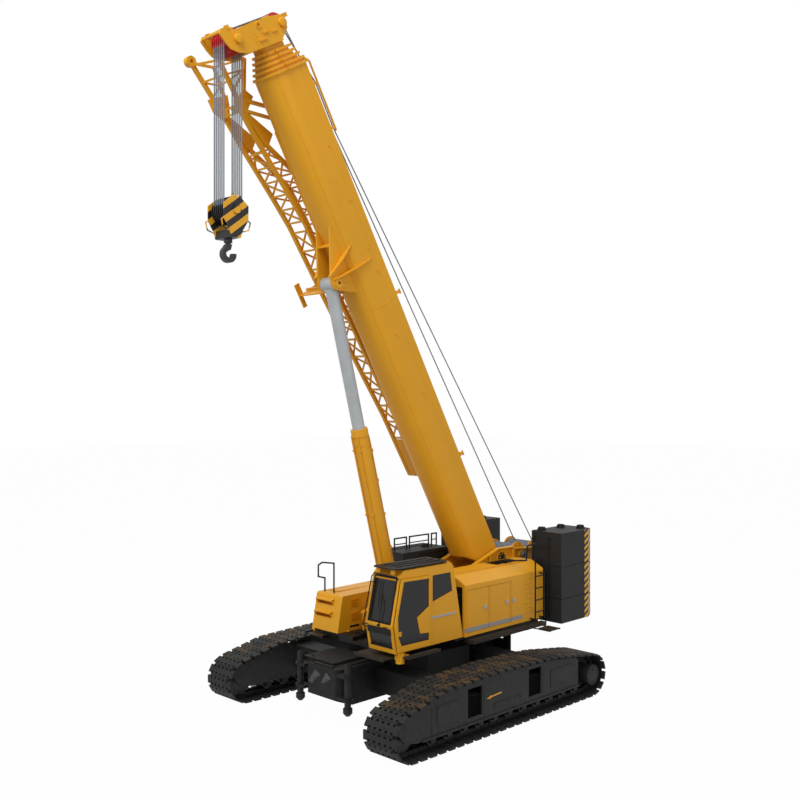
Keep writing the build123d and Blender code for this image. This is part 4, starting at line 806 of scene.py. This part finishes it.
mesh = bmesh.new()
gutter_y, gutter_z = 1.195, HOUSE_TOP - 0.012
gutter_top = gutter_z + 0.030
add_box(mesh, (-2.95, gutter_y - 0.012, gutter_z), (-0.30, gutter_y + 0.012, gutter_top), DECK)
for k in range(9):
    x = -0.42 - 0.305 * k
    add_rod(mesh, (x - 0.05, gutter_y, gutter_top), (x + 0.05, gutter_y, gutter_top), 0.013, 10, DECK)
for z in (1.790, 2.020, 2.250, 2.480):
    add_box(mesh, (-2.545, HOUSE_Y - 0.040, z + 0.005), (-2.335, HOUSE_Y - 0.010, z + 0.125), DECK)
for x in (-0.60, -2.70):
    add_box(mesh, (x - 0.05, 0.78, HOUSE_TOP), (x + 0.05, 0.80, HOUSE_TOP + 0.09), DECK)
for x0, x1 in ((-0.230, -0.222), (-1.812, -1.804)):
    add_box(mesh, (x0, HOUSE_Y - 0.002, 1.66), (x1, HOUSE_Y + 0.004, 2.70), DECK)
for x in (-0.178, -3.128):
    for z in (1.75, 2.15, 2.60):
        add_bolts(mesh, [(x, y, z) for y in (0.80, 1.40)], (1 if x > -1 else -1, 0, 0), 0.012, 0.010, DECK)
piece("housing_trim", mesh, "yellow_paint", "upper", bevel=0.002)

mesh = bmesh.new()
add_box(mesh, (-0.176, 0.78, 1.66), (-0.168, 1.50, 2.70), DECK)
for k in range(9):
    z = 2.02 + 0.062 * k
    add_prism(mesh, [(-0.174, z), (-0.150, z - 0.012), (-0.150, z - 0.004), (-0.174, z + 0.030)], 0.76, 1.44, DECK)
for k in range(10):
    x = -1.95 - 0.085 * k
    fin = [(x, HOUSE_TOP), (x + 0.05, HOUSE_TOP + 0.026), (x + 0.056, HOUSE_TOP + 0.022), (x + 0.01, HOUSE_TOP)]
    add_prism(mesh, fin, 0.72, 1.10, DECK)
piece("housing_louvres", mesh, "black_paint", "upper")

# %% [markdown]
# The cab is a steel frame round big dark panes. What makes it a cab is at its edges: black rubber
# seals, a wiper on its arm, a bent guard tube before the windscreen and a door handle. The seal is
# a row of strips that follow the pane's outline.

# %% Seals, wiper and guard tube of the windscreen
CAB_SILL, CAB_LEAN = (2.080, 2.190), 0.2304


def on_screen(y, z, out=0.0):
    """Point on the leaning plane of the windscreen, a little out from it."""
    return DECK @ Vector((CAB_SILL[0] - CAB_LEAN * (z - CAB_SILL[1]) + out, y, z))


def add_strip(mesh, corners, width, out):
    """Flat frame of strips round a closed outline on the windscreen's plane."""
    count = len(corners)
    middle = (sum(y for y, _ in corners) / count, sum(z for _, z in corners) / count)
    inner = [(y + math.copysign(width, middle[0] - y), z + math.copysign(width, middle[1] - z))
             for y, z in corners]
    for i in range(count):
        j = (i + 1) % count
        ring = [corners[i], corners[j], inner[j], inner[i]]
        add_shell(mesh, [on_screen(y, z, 0.001) for y, z in ring], [on_screen(y, z, out) for y, z in ring])


mesh = bmesh.new()
add_strip(mesh, [(0.795, 2.225), (1.490, 2.225), (1.490, 3.185), (0.795, 3.185)], 0.035, 0.012)
piece("windscreen_seal", mesh, "rubber_seal", "upper", bevel=0.003)

mesh = bmesh.new()
add_box(mesh, (1.985, 0.80, 1.705), (1.998, 1.485, 1.735), DECK)
add_prism(mesh, [(2.066, 2.085), (2.084, 2.085), (2.092, 2.130), (2.072, 2.135)], 0.80, 1.485, DECK)
add_prism(mesh, [(2.045, 1.995), (2.075, 2.000), (2.090, 2.095), (2.070, 2.095)], 0.80, 1.485, DECK)
piece("lower_pane_visor", mesh, "black_paint", "upper", bevel=0.004)

mesh = bmesh.new()
loop = [on_screen(1.53, 3.150, 0.02), on_screen(1.53, 3.205, 0.085), on_screen(0.86, 3.225, 0.085),
        on_screen(0.79, 3.140, 0.085), on_screen(0.76, 2.140, 0.085), on_screen(0.80, 2.120, 0.06),
        on_screen(1.52, 2.105, 0.06)]
add_path(mesh, loop, 0.012, 10)
for y, z, foot_step, top_step in ((0.80, 3.02, 0.03, -0.02), (0.79, 2.16, 0.03, -0.02),
                                  (1.50, 2.98, -0.01, 0.01), (1.50, 2.13, -0.01, 0.01)):
    add_path(mesh, [on_screen(y + foot_step, z, 0.0), on_screen(y + top_step, z, 0.085)], 0.010, 8)
wiper = [on_screen(1.16, 2.190, 0.02), on_screen(1.17, 2.60, 0.035), on_screen(1.06, 2.78, 0.030)]
add_path(mesh, wiper, 0.010, 8)
add_path(mesh, [on_screen(1.08, 2.50, 0.022), on_screen(1.02, 3.06, 0.022)], 0.009, 6)
add_rod(mesh, on_screen(1.16, 2.18, 0.0), on_screen(1.16, 2.18, 0.045), 0.026, 16)
add_path(mesh, [on_screen(1.42, 2.165, 0.02), on_screen(1.30, 2.150, 0.03)], 0.010, 8)
piece("windscreen_guard_and_wiper", mesh, "black_paint", "upper")

# %% [markdown]
# The roof guard is a plate with cut corners on four short posts. It stands in for the frame's own
# guard, which is higher. Brackets tie it to the front edge of the roof.

# %% Roof guard, handle and ribs of the cab
GUARD_LOW, GUARD_HIGH = 3.352, 3.377
mesh = bmesh.new()
outline = [(1.990, 0.900), (1.990, 1.480), (1.900, 1.560), (0.420, 1.560), (0.330, 1.480), (0.330, 0.860),
           (1.900, 0.820)]
add_shell(mesh, [(x, y, GUARD_LOW) for x, y in outline], [(x, y, GUARD_HIGH) for x, y in outline], DECK)
for x in (0.48, 1.64):
    for y in (0.90, 1.48):
        add_rod(mesh, (x, y, 3.318), (x, y, GUARD_LOW + 0.005), 0.022, 12, DECK)
for y in (1.02, 1.20, 1.38):
    add_box(mesh, (0.45, y - 0.012, GUARD_HIGH), (1.80, y + 0.012, GUARD_HIGH + 0.014), DECK)
guard = piece("cab_roof_guard", mesh, "black_paint", "upper", bevel=0.004)
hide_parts("cab_guard")

mesh = bmesh.new()
for y in (0.98, 1.40):
    add_box(mesh, (1.890, y - 0.05, 3.250), (1.935, y + 0.05, GUARD_LOW), DECK)
    add_box(mesh, (1.72, y - 0.03, 3.322), (1.90, y + 0.03, GUARD_LOW), DECK)
piece("roof_guard_brackets", mesh, "yellow_paint", "upper", bevel=0.004)

DOOR_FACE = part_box("cab_door")[1].y
mesh = bmesh.new()
add_box(mesh, (1.865, DOOR_FACE - 0.002, 1.985), (1.945, DOOR_FACE + 0.010, 2.075), DECK)
grip = DOOR_FACE + 0.035
add_path(mesh, [(1.90, DOOR_FACE, 2.06), (1.90, grip, 2.05), (1.90, grip, 1.99), (1.90, DOOR_FACE, 1.985)],
         0.008, 8, DECK)
piece("cab_door_handle", mesh, "yellow_paint", "cab_door", bevel=0.004)

mesh = bmesh.new()
for x in (0.62, 1.44):
    add_box(mesh, (x - 0.05, 0.96, 3.318), (x + 0.05, 1.42, 3.340), DECK)
add_box(mesh, (0.10, 0.90, 2.16), (0.135, 1.40, 2.20), DECK)
add_prism(mesh, [(0.20, 3.322), (1.62, 3.322), (1.60, 3.338), (0.22, 3.338)], 1.425, 1.450, DECK)
piece("cab_roof_ribs", mesh, "yellow_paint", "upper", bevel=0.004)

# %% [markdown]
# Behind the cab the machine shows its working side: pipes over the deck, a valve bank between the
# plates, and ribs and pin bolts on the plates themselves. None of it needs its own solid in the
# CAD, but a bare deck would look like a toy's.

# %% Pipes, valve bank and ribs on the deck
mesh = bmesh.new()
for k in range(5):
    y = -0.42 + 0.045 * k
    route = [(1.30, y, 1.62), (0.98, y, 1.62), (0.92, y, 1.70), (-0.30, y, 1.70), (-0.36, y, 1.64), (-2.30, y, 1.64)]
    add_path(mesh, route, 0.016, 8, DECK)
for k in range(3):
    y = 0.30 + 0.06 * k
    add_path(mesh, [(-0.45, y, 1.63), (-2.1, y, 1.63), (-2.2, y, 1.75), (-3.0, y, 1.75)], 0.018, 8, DECK)
piece("deck_pipes", mesh, "black_paint", "upper")

mesh = bmesh.new()
add_box(mesh, (-1.30, -0.42, 1.60), (-0.72, 0.10, 1.90), DECK)
for k in range(6):
    add_rod(mesh, (-1.26 + 0.10 * k, -0.16, 1.90), (-1.26 + 0.10 * k, -0.16, 1.97), 0.032, 12, DECK)
    add_box(mesh, (-1.29 + 0.10 * k, 0.10, 1.68), (-1.23 + 0.10 * k, 0.16, 1.84), DECK)
piece("valve_bank", mesh, "engine_iron", "upper", bevel=0.006)

mesh = bmesh.new()
for side in (-1, 1):
    inner = side * 0.520
    for x, top in ((0.70, 2.06), (-0.10, 2.33), (-2.25, 3.05)):
        add_box(mesh, (x - 0.010, inner, 1.62), (x + 0.010, side * 0.60, top), DECK)
    add_prism(mesh, [(0.95, 1.66), (0.97, 1.69), (-2.52, 1.69), (-2.52, 1.66)], inner, side * 0.585, DECK)
    pin_face = (BOOM_FOOT.x, side * 0.575, BOOM_FOOT.z)
    add_bolts(mesh, ring_of(pin_face, 0.105, 8), (0, side, 0), 0.016, 0.014)
    for x, z in ((0.30, 1.85), (-0.50, 2.05), (-1.30, 2.30)):
        add_rod(mesh, (x, inner, z), (x, side * 0.526, z), 0.085, 24, DECK)
piece("deck_plate_ribs", mesh, "deck_paint_with_painted_shade", "upper", bevel=0.003)

# %% [markdown]
# The right side holds the coolers and the tanks: hinged hatches and a grille on the housing behind,
# a panel and two louvred vents on the tank, and small steps on the tank's sloping front. Each
# hatch is a thin plate a few millimetres proud of the sheet, which is enough to show its edge.

# %% Hatches, grille and steps of the right side
def front_of_tank(z):
    """The tank's sloping front face at a height."""
    return 1.640 - 0.180 * (z - 1.450) / 0.970


mesh = bmesh.new()
for x in (-0.70, -1.25, -1.80):
    add_box(mesh, (x - 0.24, -1.508, 1.75), (x + 0.24, -1.499, 3.05), DECK)
    add_box(mesh, (x + 0.16, -1.520, 2.35), (x + 0.21, -1.506, 2.47), DECK)
    for z in (1.95, 2.85):
        add_rod(mesh, (x - 0.245, -1.510, z - 0.05), (x - 0.245, -1.510, z + 0.05), 0.011, 8, DECK)
for k in range(11):
    x = -0.62 - 0.12 * k
    add_box(mesh, (x - 0.035, -1.45, 3.200), (x + 0.035, -1.16, 3.212), DECK)
add_bolts(mesh, ring_of((-1.59, -1.00, 3.25), 0.085, 6, "xy"), (0, 0, 1), 0.010, 0.010, DECK)
piece("cooler_hatches", mesh, "dark_grey_paint", "upper", bevel=0.003)

mesh = bmesh.new()
add_box(mesh, (0.10, -1.590 + 0.004, 1.62), (1.25, -1.583, 2.34), DECK)
for x in (0.16, 1.18):
    for z in (1.75, 2.20):
        add_rod(mesh, (x, -1.585, z - 0.05), (x, -1.585, z + 0.05), 0.011, 8, DECK)
add_box(mesh, (-0.30, -1.45, 2.428), (1.20, -1.15, 2.440), DECK)
for z0, z1 in ((2.13, 2.32), (1.83, 2.02)):
    for k in range(4):
        z = z0 + (z1 - z0) * k / 4
        add_box(mesh, (0.965, -0.690, z + 0.026), (1.195, -0.675, z + 0.036), DECK)
add_rod(mesh, (1.30, -0.690, 1.60), (1.30, -0.655, 1.60), 0.026, 16, DECK)
for z in (2.040, 2.320):
    x, foot = front_of_tank(z), front_of_tank(z - 0.14)
    for y in (-1.520, -0.972):
        cheek = [(x - 0.02, z), (x + 0.088, z - 0.028), (x + 0.088, z - 0.044), (foot, z - 0.14)]
        add_prism(mesh, cheek, y, y + 0.012, DECK)
piece("tank_hatches", mesh, "yellow_paint", "upper", bevel=0.003)

# A black strip in the tank's lower louvre opening is painted shade, the dark inside of the opening.
mesh = bmesh.new()
add_box(mesh, (0.95, -0.6945, 1.672), (1.23, -0.6915, 1.718), DECK)
piece("tank_louvre_painted_shade", mesh, "black_paint", "upper")

# %% [markdown]
# The counterweight is three slabs keyed over each other. Its outer corner carries yellow and black
# warning stripes, its top has lifting lugs of doubled plate, and handrails run up its front face
# where a fitter climbs past the winches.

# %% Stripes, lugs and rails of the counterweight
cw_low, cw_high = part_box("counterweight_stacks")
CORNERS = [(cw_low.x + 0.440, cw_high.y), (cw_low.x + 0.280, cw_high.y), (cw_low.x + 0.060, cw_high.y - 0.090)]
SLAB_TOP = cw_high.z - 0.085
LEVELS = [(cw_low.z + 0.004, 2.045), (2.067, 2.826), (2.848, SLAB_TOP - 0.004)]
RAIL_X = -3.261
for side, label in ((1, "left"), (-1, "right")):
    mesh = bmesh.new()
    ring = [(x, side * y) for x, y in CORNERS] + [(x, side * (y + 0.004)) for x, y in reversed(CORNERS)]
    for z0, z1 in LEVELS:
        add_shell(mesh, [(x, y, z0) for x, y in ring], [(x, y, z1) for x, y in ring])
    piece(f"counterweight_stripes_{label}", mesh, "edge_stripes", "upper")
    mesh = bmesh.new()
    for x, y in ((-3.42, 1.27), (-4.18, 1.30), (-4.42, 1.73)):
        lug = [(x - 0.11, SLAB_TOP), (x + 0.11, SLAB_TOP), (x + 0.07, SLAB_TOP + 0.082), (x - 0.07, SLAB_TOP + 0.082)]
        for step in (-0.045, 0.045):
            middle = side * (y + step)
            add_prism(mesh, lug, middle - 0.014, middle + 0.014, DECK)
    rail = RAIL_X + 0.07
    for y in (side * 1.20, side * 1.62):
        add_path(mesh, [(RAIL_X, y, 1.62), (rail, y, 1.62), (rail, y, 3.50), (RAIL_X, y, 3.50)], 0.015, 8, DECK)
    for k in range(6):
        z = 1.80 + 0.30 * k
        add_rod(mesh, (rail, side * 1.20, z), (rail, side * 1.62, z), 0.012, 8, DECK)
    for z in (1.75, 2.45, 3.25):
        add_rod(mesh, (-4.55, side * 1.30, z), (-4.676, side * 1.30, z), 0.03, 16, DECK)
    piece(f"counterweight_fittings_{label}", mesh, "black_paint", "upper", bevel=0.002)

# %% [markdown]
# Rope lies on a winch drum in one layer of a helix beside another. From any distance the turns
# read as grooves, so each layer is a lathe-like tube whose outline rises and falls once a turn.

# %% Rope on the drums, ribs and motors of the winches
ROPE_TURNS, LAYER_R, LAYER_HALF = 26, 0.232, 0.362
for label in ("main", "aux"):
    centre = joint_at[f"winch_{label}_spin"]
    mesh = bmesh.new()
    rows = []
    for k in range(ROPE_TURNS * 4 + 1):
        y = -LAYER_HALF + 2 * LAYER_HALF * k / (ROPE_TURNS * 4)
        r = LAYER_R + (0.0, 0.010, 0.013, 0.010)[k % 4]
        rows.append(ring_of((centre.x, y, centre.z), r, 48))
    add_rings(mesh, rows)
    piece(f"rope_layers_{label}", mesh, "wire_rope", f"winch_{label}", smooth=True)
    mesh = bmesh.new()
    for side in (-1, 1):
        hub = centre + Vector((0, side * 0.400, 0))
        for start, end in zip(ring_of(hub, 0.10, 8), ring_of(hub, 0.27, 8)):
            add_rod(mesh, start, end, 0.016, 6)
        add_rod(mesh, centre + Vector((0, side * 0.398, 0)), centre + Vector((0, side * 0.425, 0)), 0.10, 24)
    piece(f"drum_ribs_{label}", mesh, "yellow_paint", f"winch_{label}")

mesh = bmesh.new()
for label in ("main", "aux"):
    centre = joint_at[f"winch_{label}_spin"]
    for side in (-1, 1):
        add_bolts(mesh, ring_of(centre + Vector((0, side * 0.560, 0)), 0.095, 10), (0, side, 0), 0.012, 0.012)
    add_rod(mesh, centre + Vector((0, 0.560, 0)), centre + Vector((0, 0.640, 0)), 0.060, 24)
    add_rod(mesh, centre + Vector((0, 0.600, 0.04)), centre + Vector((0, 0.600, 0.12)), 0.020, 8)
piece("winch_motors", mesh, "engine_iron", "upper", bevel=0.003)

# %% [markdown]
# The big box of the boom is plain on purpose, so its few details count: the long weld where the
# flat side meets the rounded underside, a step near the top edge, the ring weld where two lengths
# of plate join, small knobs, two arms that keep the ropes off, and the flared bracket of the
# luffing cylinder. Welds are low rounded beads laid along lines on the surface.

# %% Welds and knobs of the base section
BOX_HALF, BOX_BOTTOM, ROUND, ARM_Y = 0.420, -0.886, 0.350, 0.40


def on_skin(angle):
    """(y, above) on the boom's left skin: 0 is the flat side's lower end, 90 the underside."""
    a = math.radians(angle)
    return BOX_HALF - ROUND + ROUND * math.cos(a), BOX_BOTTOM + ROUND - ROUND * math.sin(a)


mesh = bmesh.new()
for side in (-1, 1):
    y, t = on_skin(38)
    add_path(mesh, [(0.75, side * y, t), (12.40, side * y, t)], 0.009, 8, BOOM)
    add_box(mesh, (0.75, side * 0.418, -0.135), (12.42, side * 0.4235, 0.065), BOOM)
    bead = [(7.20, side * BOX_HALF, 0.05), (7.20, side * BOX_HALF, -0.536)]
    bead += [(7.20 + 0.012 * k, side * on_skin(k * 10)[0], on_skin(k * 10)[1]) for k in range(1, 10)]
    add_path(mesh, bead, 0.006, 6, BOOM)
    for s, t in ((8.48, -0.228), (7.93, -0.218), (6.45, -0.40), (4.9, -0.30), (9.6, -0.215), (10.8, -0.20)):
        add_rod(mesh, (s, side * BOX_HALF, t), (s, side * 0.446, t), 0.020, 12, BOOM)
        y = side * 0.421
        add_box(mesh, (s - 0.045, y - 0.004, t - 0.014), (s + 0.045, y + 0.004, t + 0.014), BOOM)
    y = side * ARM_Y
    for s in (7.24, 2.94):
        add_box(mesh, (s - 0.02, y - 0.02, 0.05), (s + 0.02, y + 0.02, 0.19), BOOM)
        add_box(mesh, (s - 0.035, y - 0.03, 0.165), (s + 0.035, y + 0.03, 0.205), BOOM)
        add_rod(mesh, (s - 0.06, y, 0.21), (s + 0.06, y, 0.21), 0.018, 10, BOOM)
for s in (2.94, 7.24):
    add_rod(mesh, (s, -ARM_Y, 0.185), (s, ARM_Y, 0.185), 0.024, 16, BOOM)
piece("boom_welds_and_arms", mesh, "yellow_paint", "boom")

# %% [markdown]
# The bracket is drawn by its edges: a flange that hugs the rounded skin and flares outward below
# it, and a web that leans from the pin up to the side of the boom.

# %% Flared bracket of the luffing cylinder
PIN = joint_at["cylinder_swing"]
FLANGE = [(0.235, -1.385), (0.300, -1.330), (0.400, -1.120), (0.468, -0.820), (0.478, -0.560), (0.455, -0.330),
          (0.421, -0.200), (0.418, -0.530), *[on_skin(k) for k in (12, 30, 50, 68)], (0.200, -0.900)]
WEB = [(8.345, 0.215, -1.400), (8.345, 0.262, -1.400), (8.560, 0.400, -0.960), (8.770, 0.421, -0.560),
       (8.770, 0.400, -0.560), (8.560, 0.215, -0.900)]
GUSSET = [(7.98, -1.13), (8.10, -1.30), (8.13, -1.28), (8.00, -1.02)]
mesh = bmesh.new()
for side in (-1, 1):
    add_shell(mesh, [(8.240, side * y, t) for y, t in FLANGE], [(8.262, side * y, t) for y, t in FLANGE], BOOM)
    web = [(s, side * y, t) for s, y, t in WEB]
    add_shell(mesh, web, [(s + 0.020, y, t - 0.008) for s, y, t in web], BOOM)
    add_prism(mesh, GUSSET, side * 0.235, side * 0.285, BOOM)
piece("cylinder_bracket_flanges", mesh, "yellow_paint", "boom", bevel=0.003)

for name, look, start, end, radius, sides, bevel in (
        ("bracket_pin_caps", "yellow_paint", 0.265, 0.291, 0.112, 36, 0.004),
        ("bracket_pin_centres", "black_paint", 0.288, 0.294, 0.030, 24, 0.0)):
    mesh = bmesh.new()
    for side in (-1, 1):
        add_rod(mesh, (PIN.x, side * start, PIN.z), (PIN.x, side * end, PIN.z), radius, sides)
    piece(name, mesh, look, "boom", bevel=bevel)

# %% [markdown]
# Along the cylinder's barrel run two thin pipes that feed its far end, held by clips. They sit on
# the boom side. The barrel's open end has a bolted gland.

# %% Pipes and gland of the luffing cylinder
FOOT_PIN = Vector((SLEW_X + 0.430, 0, 1.850))
axis_up = (Vector((PIN.x, 0, PIN.z)) - FOOT_PIN).normalized()
lift = Vector((-axis_up.z, 0, axis_up.x))
CYLINDER = Matrix(((axis_up.x, 0, lift.x, FOOT_PIN.x), (0, 1, 0, 0),
                   (axis_up.z, 0, lift.z, FOOT_PIN.z), (0, 0, 0, 1)))
mesh = bmesh.new()
for y in (-0.045, 0.045):
    route = [(0.35, y, 0.180), (0.35, y, 0.215), (4.20, y, 0.215), (4.36, y, 0.205), (4.40, y, 0.178)]
    add_path(mesh, route, 0.015, 8, CYLINDER)
for x in (0.9, 1.7, 2.5, 3.3, 4.0):
    add_box(mesh, (x - 0.03, -0.075, 0.172), (x + 0.03, 0.075, 0.236), CYLINDER)
add_box(mesh, (0.25, -0.10, 0.170), (0.46, 0.10, 0.250), CYLINDER)
add_bolts(mesh, ring_of((4.20, 0, 0), 0.190, 14, "yz"), (1, 0, 0), 0.012, 0.014, CYLINDER)
piece("barrel_pipes", mesh, "yellow_paint", "luff_barrel")
print("cylinder length", round((Vector((PIN.x, 0, PIN.z)) - FOOT_PIN).length, 3))

# %% [markdown]
# The head carries two stacks of sheaves on shafts that end in smooth domed caps. A dome is a row
# of rings that shrink toward the middle, and two low ribs stiffen the side plate between the caps.

# %% Caps and ribs of the boom head
def add_dome(mesh, s, t, face, side, radius, rise, steps=5, sides=36):
    """Low round cap standing on a side plate of the head."""
    rings = [ring_of((s, face, t), radius, sides)]
    for k in range(steps + 1):
        a = math.pi / 2 * k / steps
        r = radius * math.cos(a) if k < steps else 0.004
        rings.append(ring_of((s, face + side * (0.010 + rise * math.sin(a)), t), r, sides))
    add_rings(mesh, rings, BOOM)


mesh = bmesh.new()
for side in (-1, 1):
    for t in (-1.300, -0.070):
        add_dome(mesh, 13.360, t, side * 0.3745, side, 0.096, 0.016)
piece("head_shaft_caps", mesh, "yellow_paint", "section_6", smooth=True)

mesh = bmesh.new()
for side in (-1, 1):
    low, high = side * 0.328, side * 0.338
    add_prism(mesh, [(13.364, -0.856), (13.355, -0.840), (13.135, -0.810), (13.130, -0.830)], low, high, BOOM)
    add_prism(mesh, [(13.364, -0.900), (13.356, -0.915), (13.120, -0.890), (13.125, -0.872)], low, high, BOOM)
piece("head_side_ribs", mesh, "yellow_paint", "section_6", bevel=0.002)

# %% [markdown]
# The lattice jib is stowed under the boom. Its tubes come from the CAD; here it only gets the short
# pins that lock its head, its middle and its foot to the boom.

# %% Locking pins of the jib
mesh = bmesh.new()
for s, y, t in ((12.00, -0.625, -1.145), (12.00, -1.190, -1.145), (9.42, -0.625, -0.50), (2.74, -0.625, -0.365)):
    add_rod(mesh, (s, y - 0.03, t), (s, y + 0.05, t), 0.045, 20, BOOM)
piece("jib_locking_pins", mesh, "yellow_paint", "boom")

# %% [markdown]
# The hoist ropes leave the two winches, run up behind the boom to the rollers at its head, cross
# the head and fall to the hook block. The long run turns with the boom and stays with the winches
# at its foot, so it bends in a short stretch over the drums; the short runs ride on the head.

# %% Ropes behind the boom and over the head
ROPE_R = 0.0135


def rope(name, points, body):
    """A rope as a tube with a ring of eight points at each place given."""
    mesh = bmesh.new()
    rings = []
    for k, point in enumerate(points):
        along = points[min(k + 1, len(points) - 1)] - points[max(k - 1, 0)]
        turn = along.to_track_quat("Z", "X")
        rings.append([point + turn @ corner for corner in ring_of((0, 0, 0), ROPE_R, 8, "xy")])
    add_rings(mesh, rings)
    return piece(name, mesh, "wire_rope", body, smooth=True)


ROLLER_AT, ROPE_ABOVE, SHEAVE_FRONT = (11.060, 12.030), 0.3155, 13.36 + 0.2235
for label, drum_y, rack_y, head_y in (("main", 0.26, 0.130, 0.10), ("aux", 0.26, 0.204, 0.03)):
    drum = joint_at[f"winch_{label}_spin"]
    start = Vector((drum.x - 0.150, drum_y, drum.z + 0.185))
    top = on_boom(ROLLER_AT[0], ROPE_ABOVE, rack_y)
    run = [start.lerp(top, 0.16 * k / 16) for k in range(16)]
    run += [start.lerp(top, 0.16 + 0.84 * k / 12) for k in range(13)]
    long_rope = rope(f"rope_{label}_back", run, None)
    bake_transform(long_rope)
    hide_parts("back_ropes")
    over_rack = on_boom(ROLLER_AT[1], ROPE_ABOVE, rack_y)
    rope(f"rope_{label}_rack", [top, over_rack], "boom")
    rope(f"rope_{label}_head", [over_rack, on_boom(13.30, 0.158, head_y)], "section_6")

for k in range(4):
    y = (k - 1.5) * 0.064
    rope(f"rope_over_head_{k}", [on_boom(SHEAVE_FRONT, -0.07, y), on_boom(SHEAVE_FRONT, -1.3, y)], "section_6")
print("ropes laid")

# %% [markdown]
# The hook block hangs by its falls between two heavy side plates. Only the two ends of its shaft
# and the bolts round them are added here.

# %% Shaft ends and bolts of the hook block
SHAFT_Z = 10.600
block_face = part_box("hook_block")[1].y - 0.002
mesh = bmesh.new()
for side in (-1, 1):
    end = (HOOK_X, side * (block_face - 0.012), SHAFT_Z)
    add_rod(mesh, end, (HOOK_X, side * block_face, SHAFT_Z), 0.075, 32)
    add_bolts(mesh, ring_of(end, 0.10, 6), (0, side, 0), 0.012, 0.012)
piece("block_shaft_ends", mesh, "black_paint", "block", bevel=0.003)
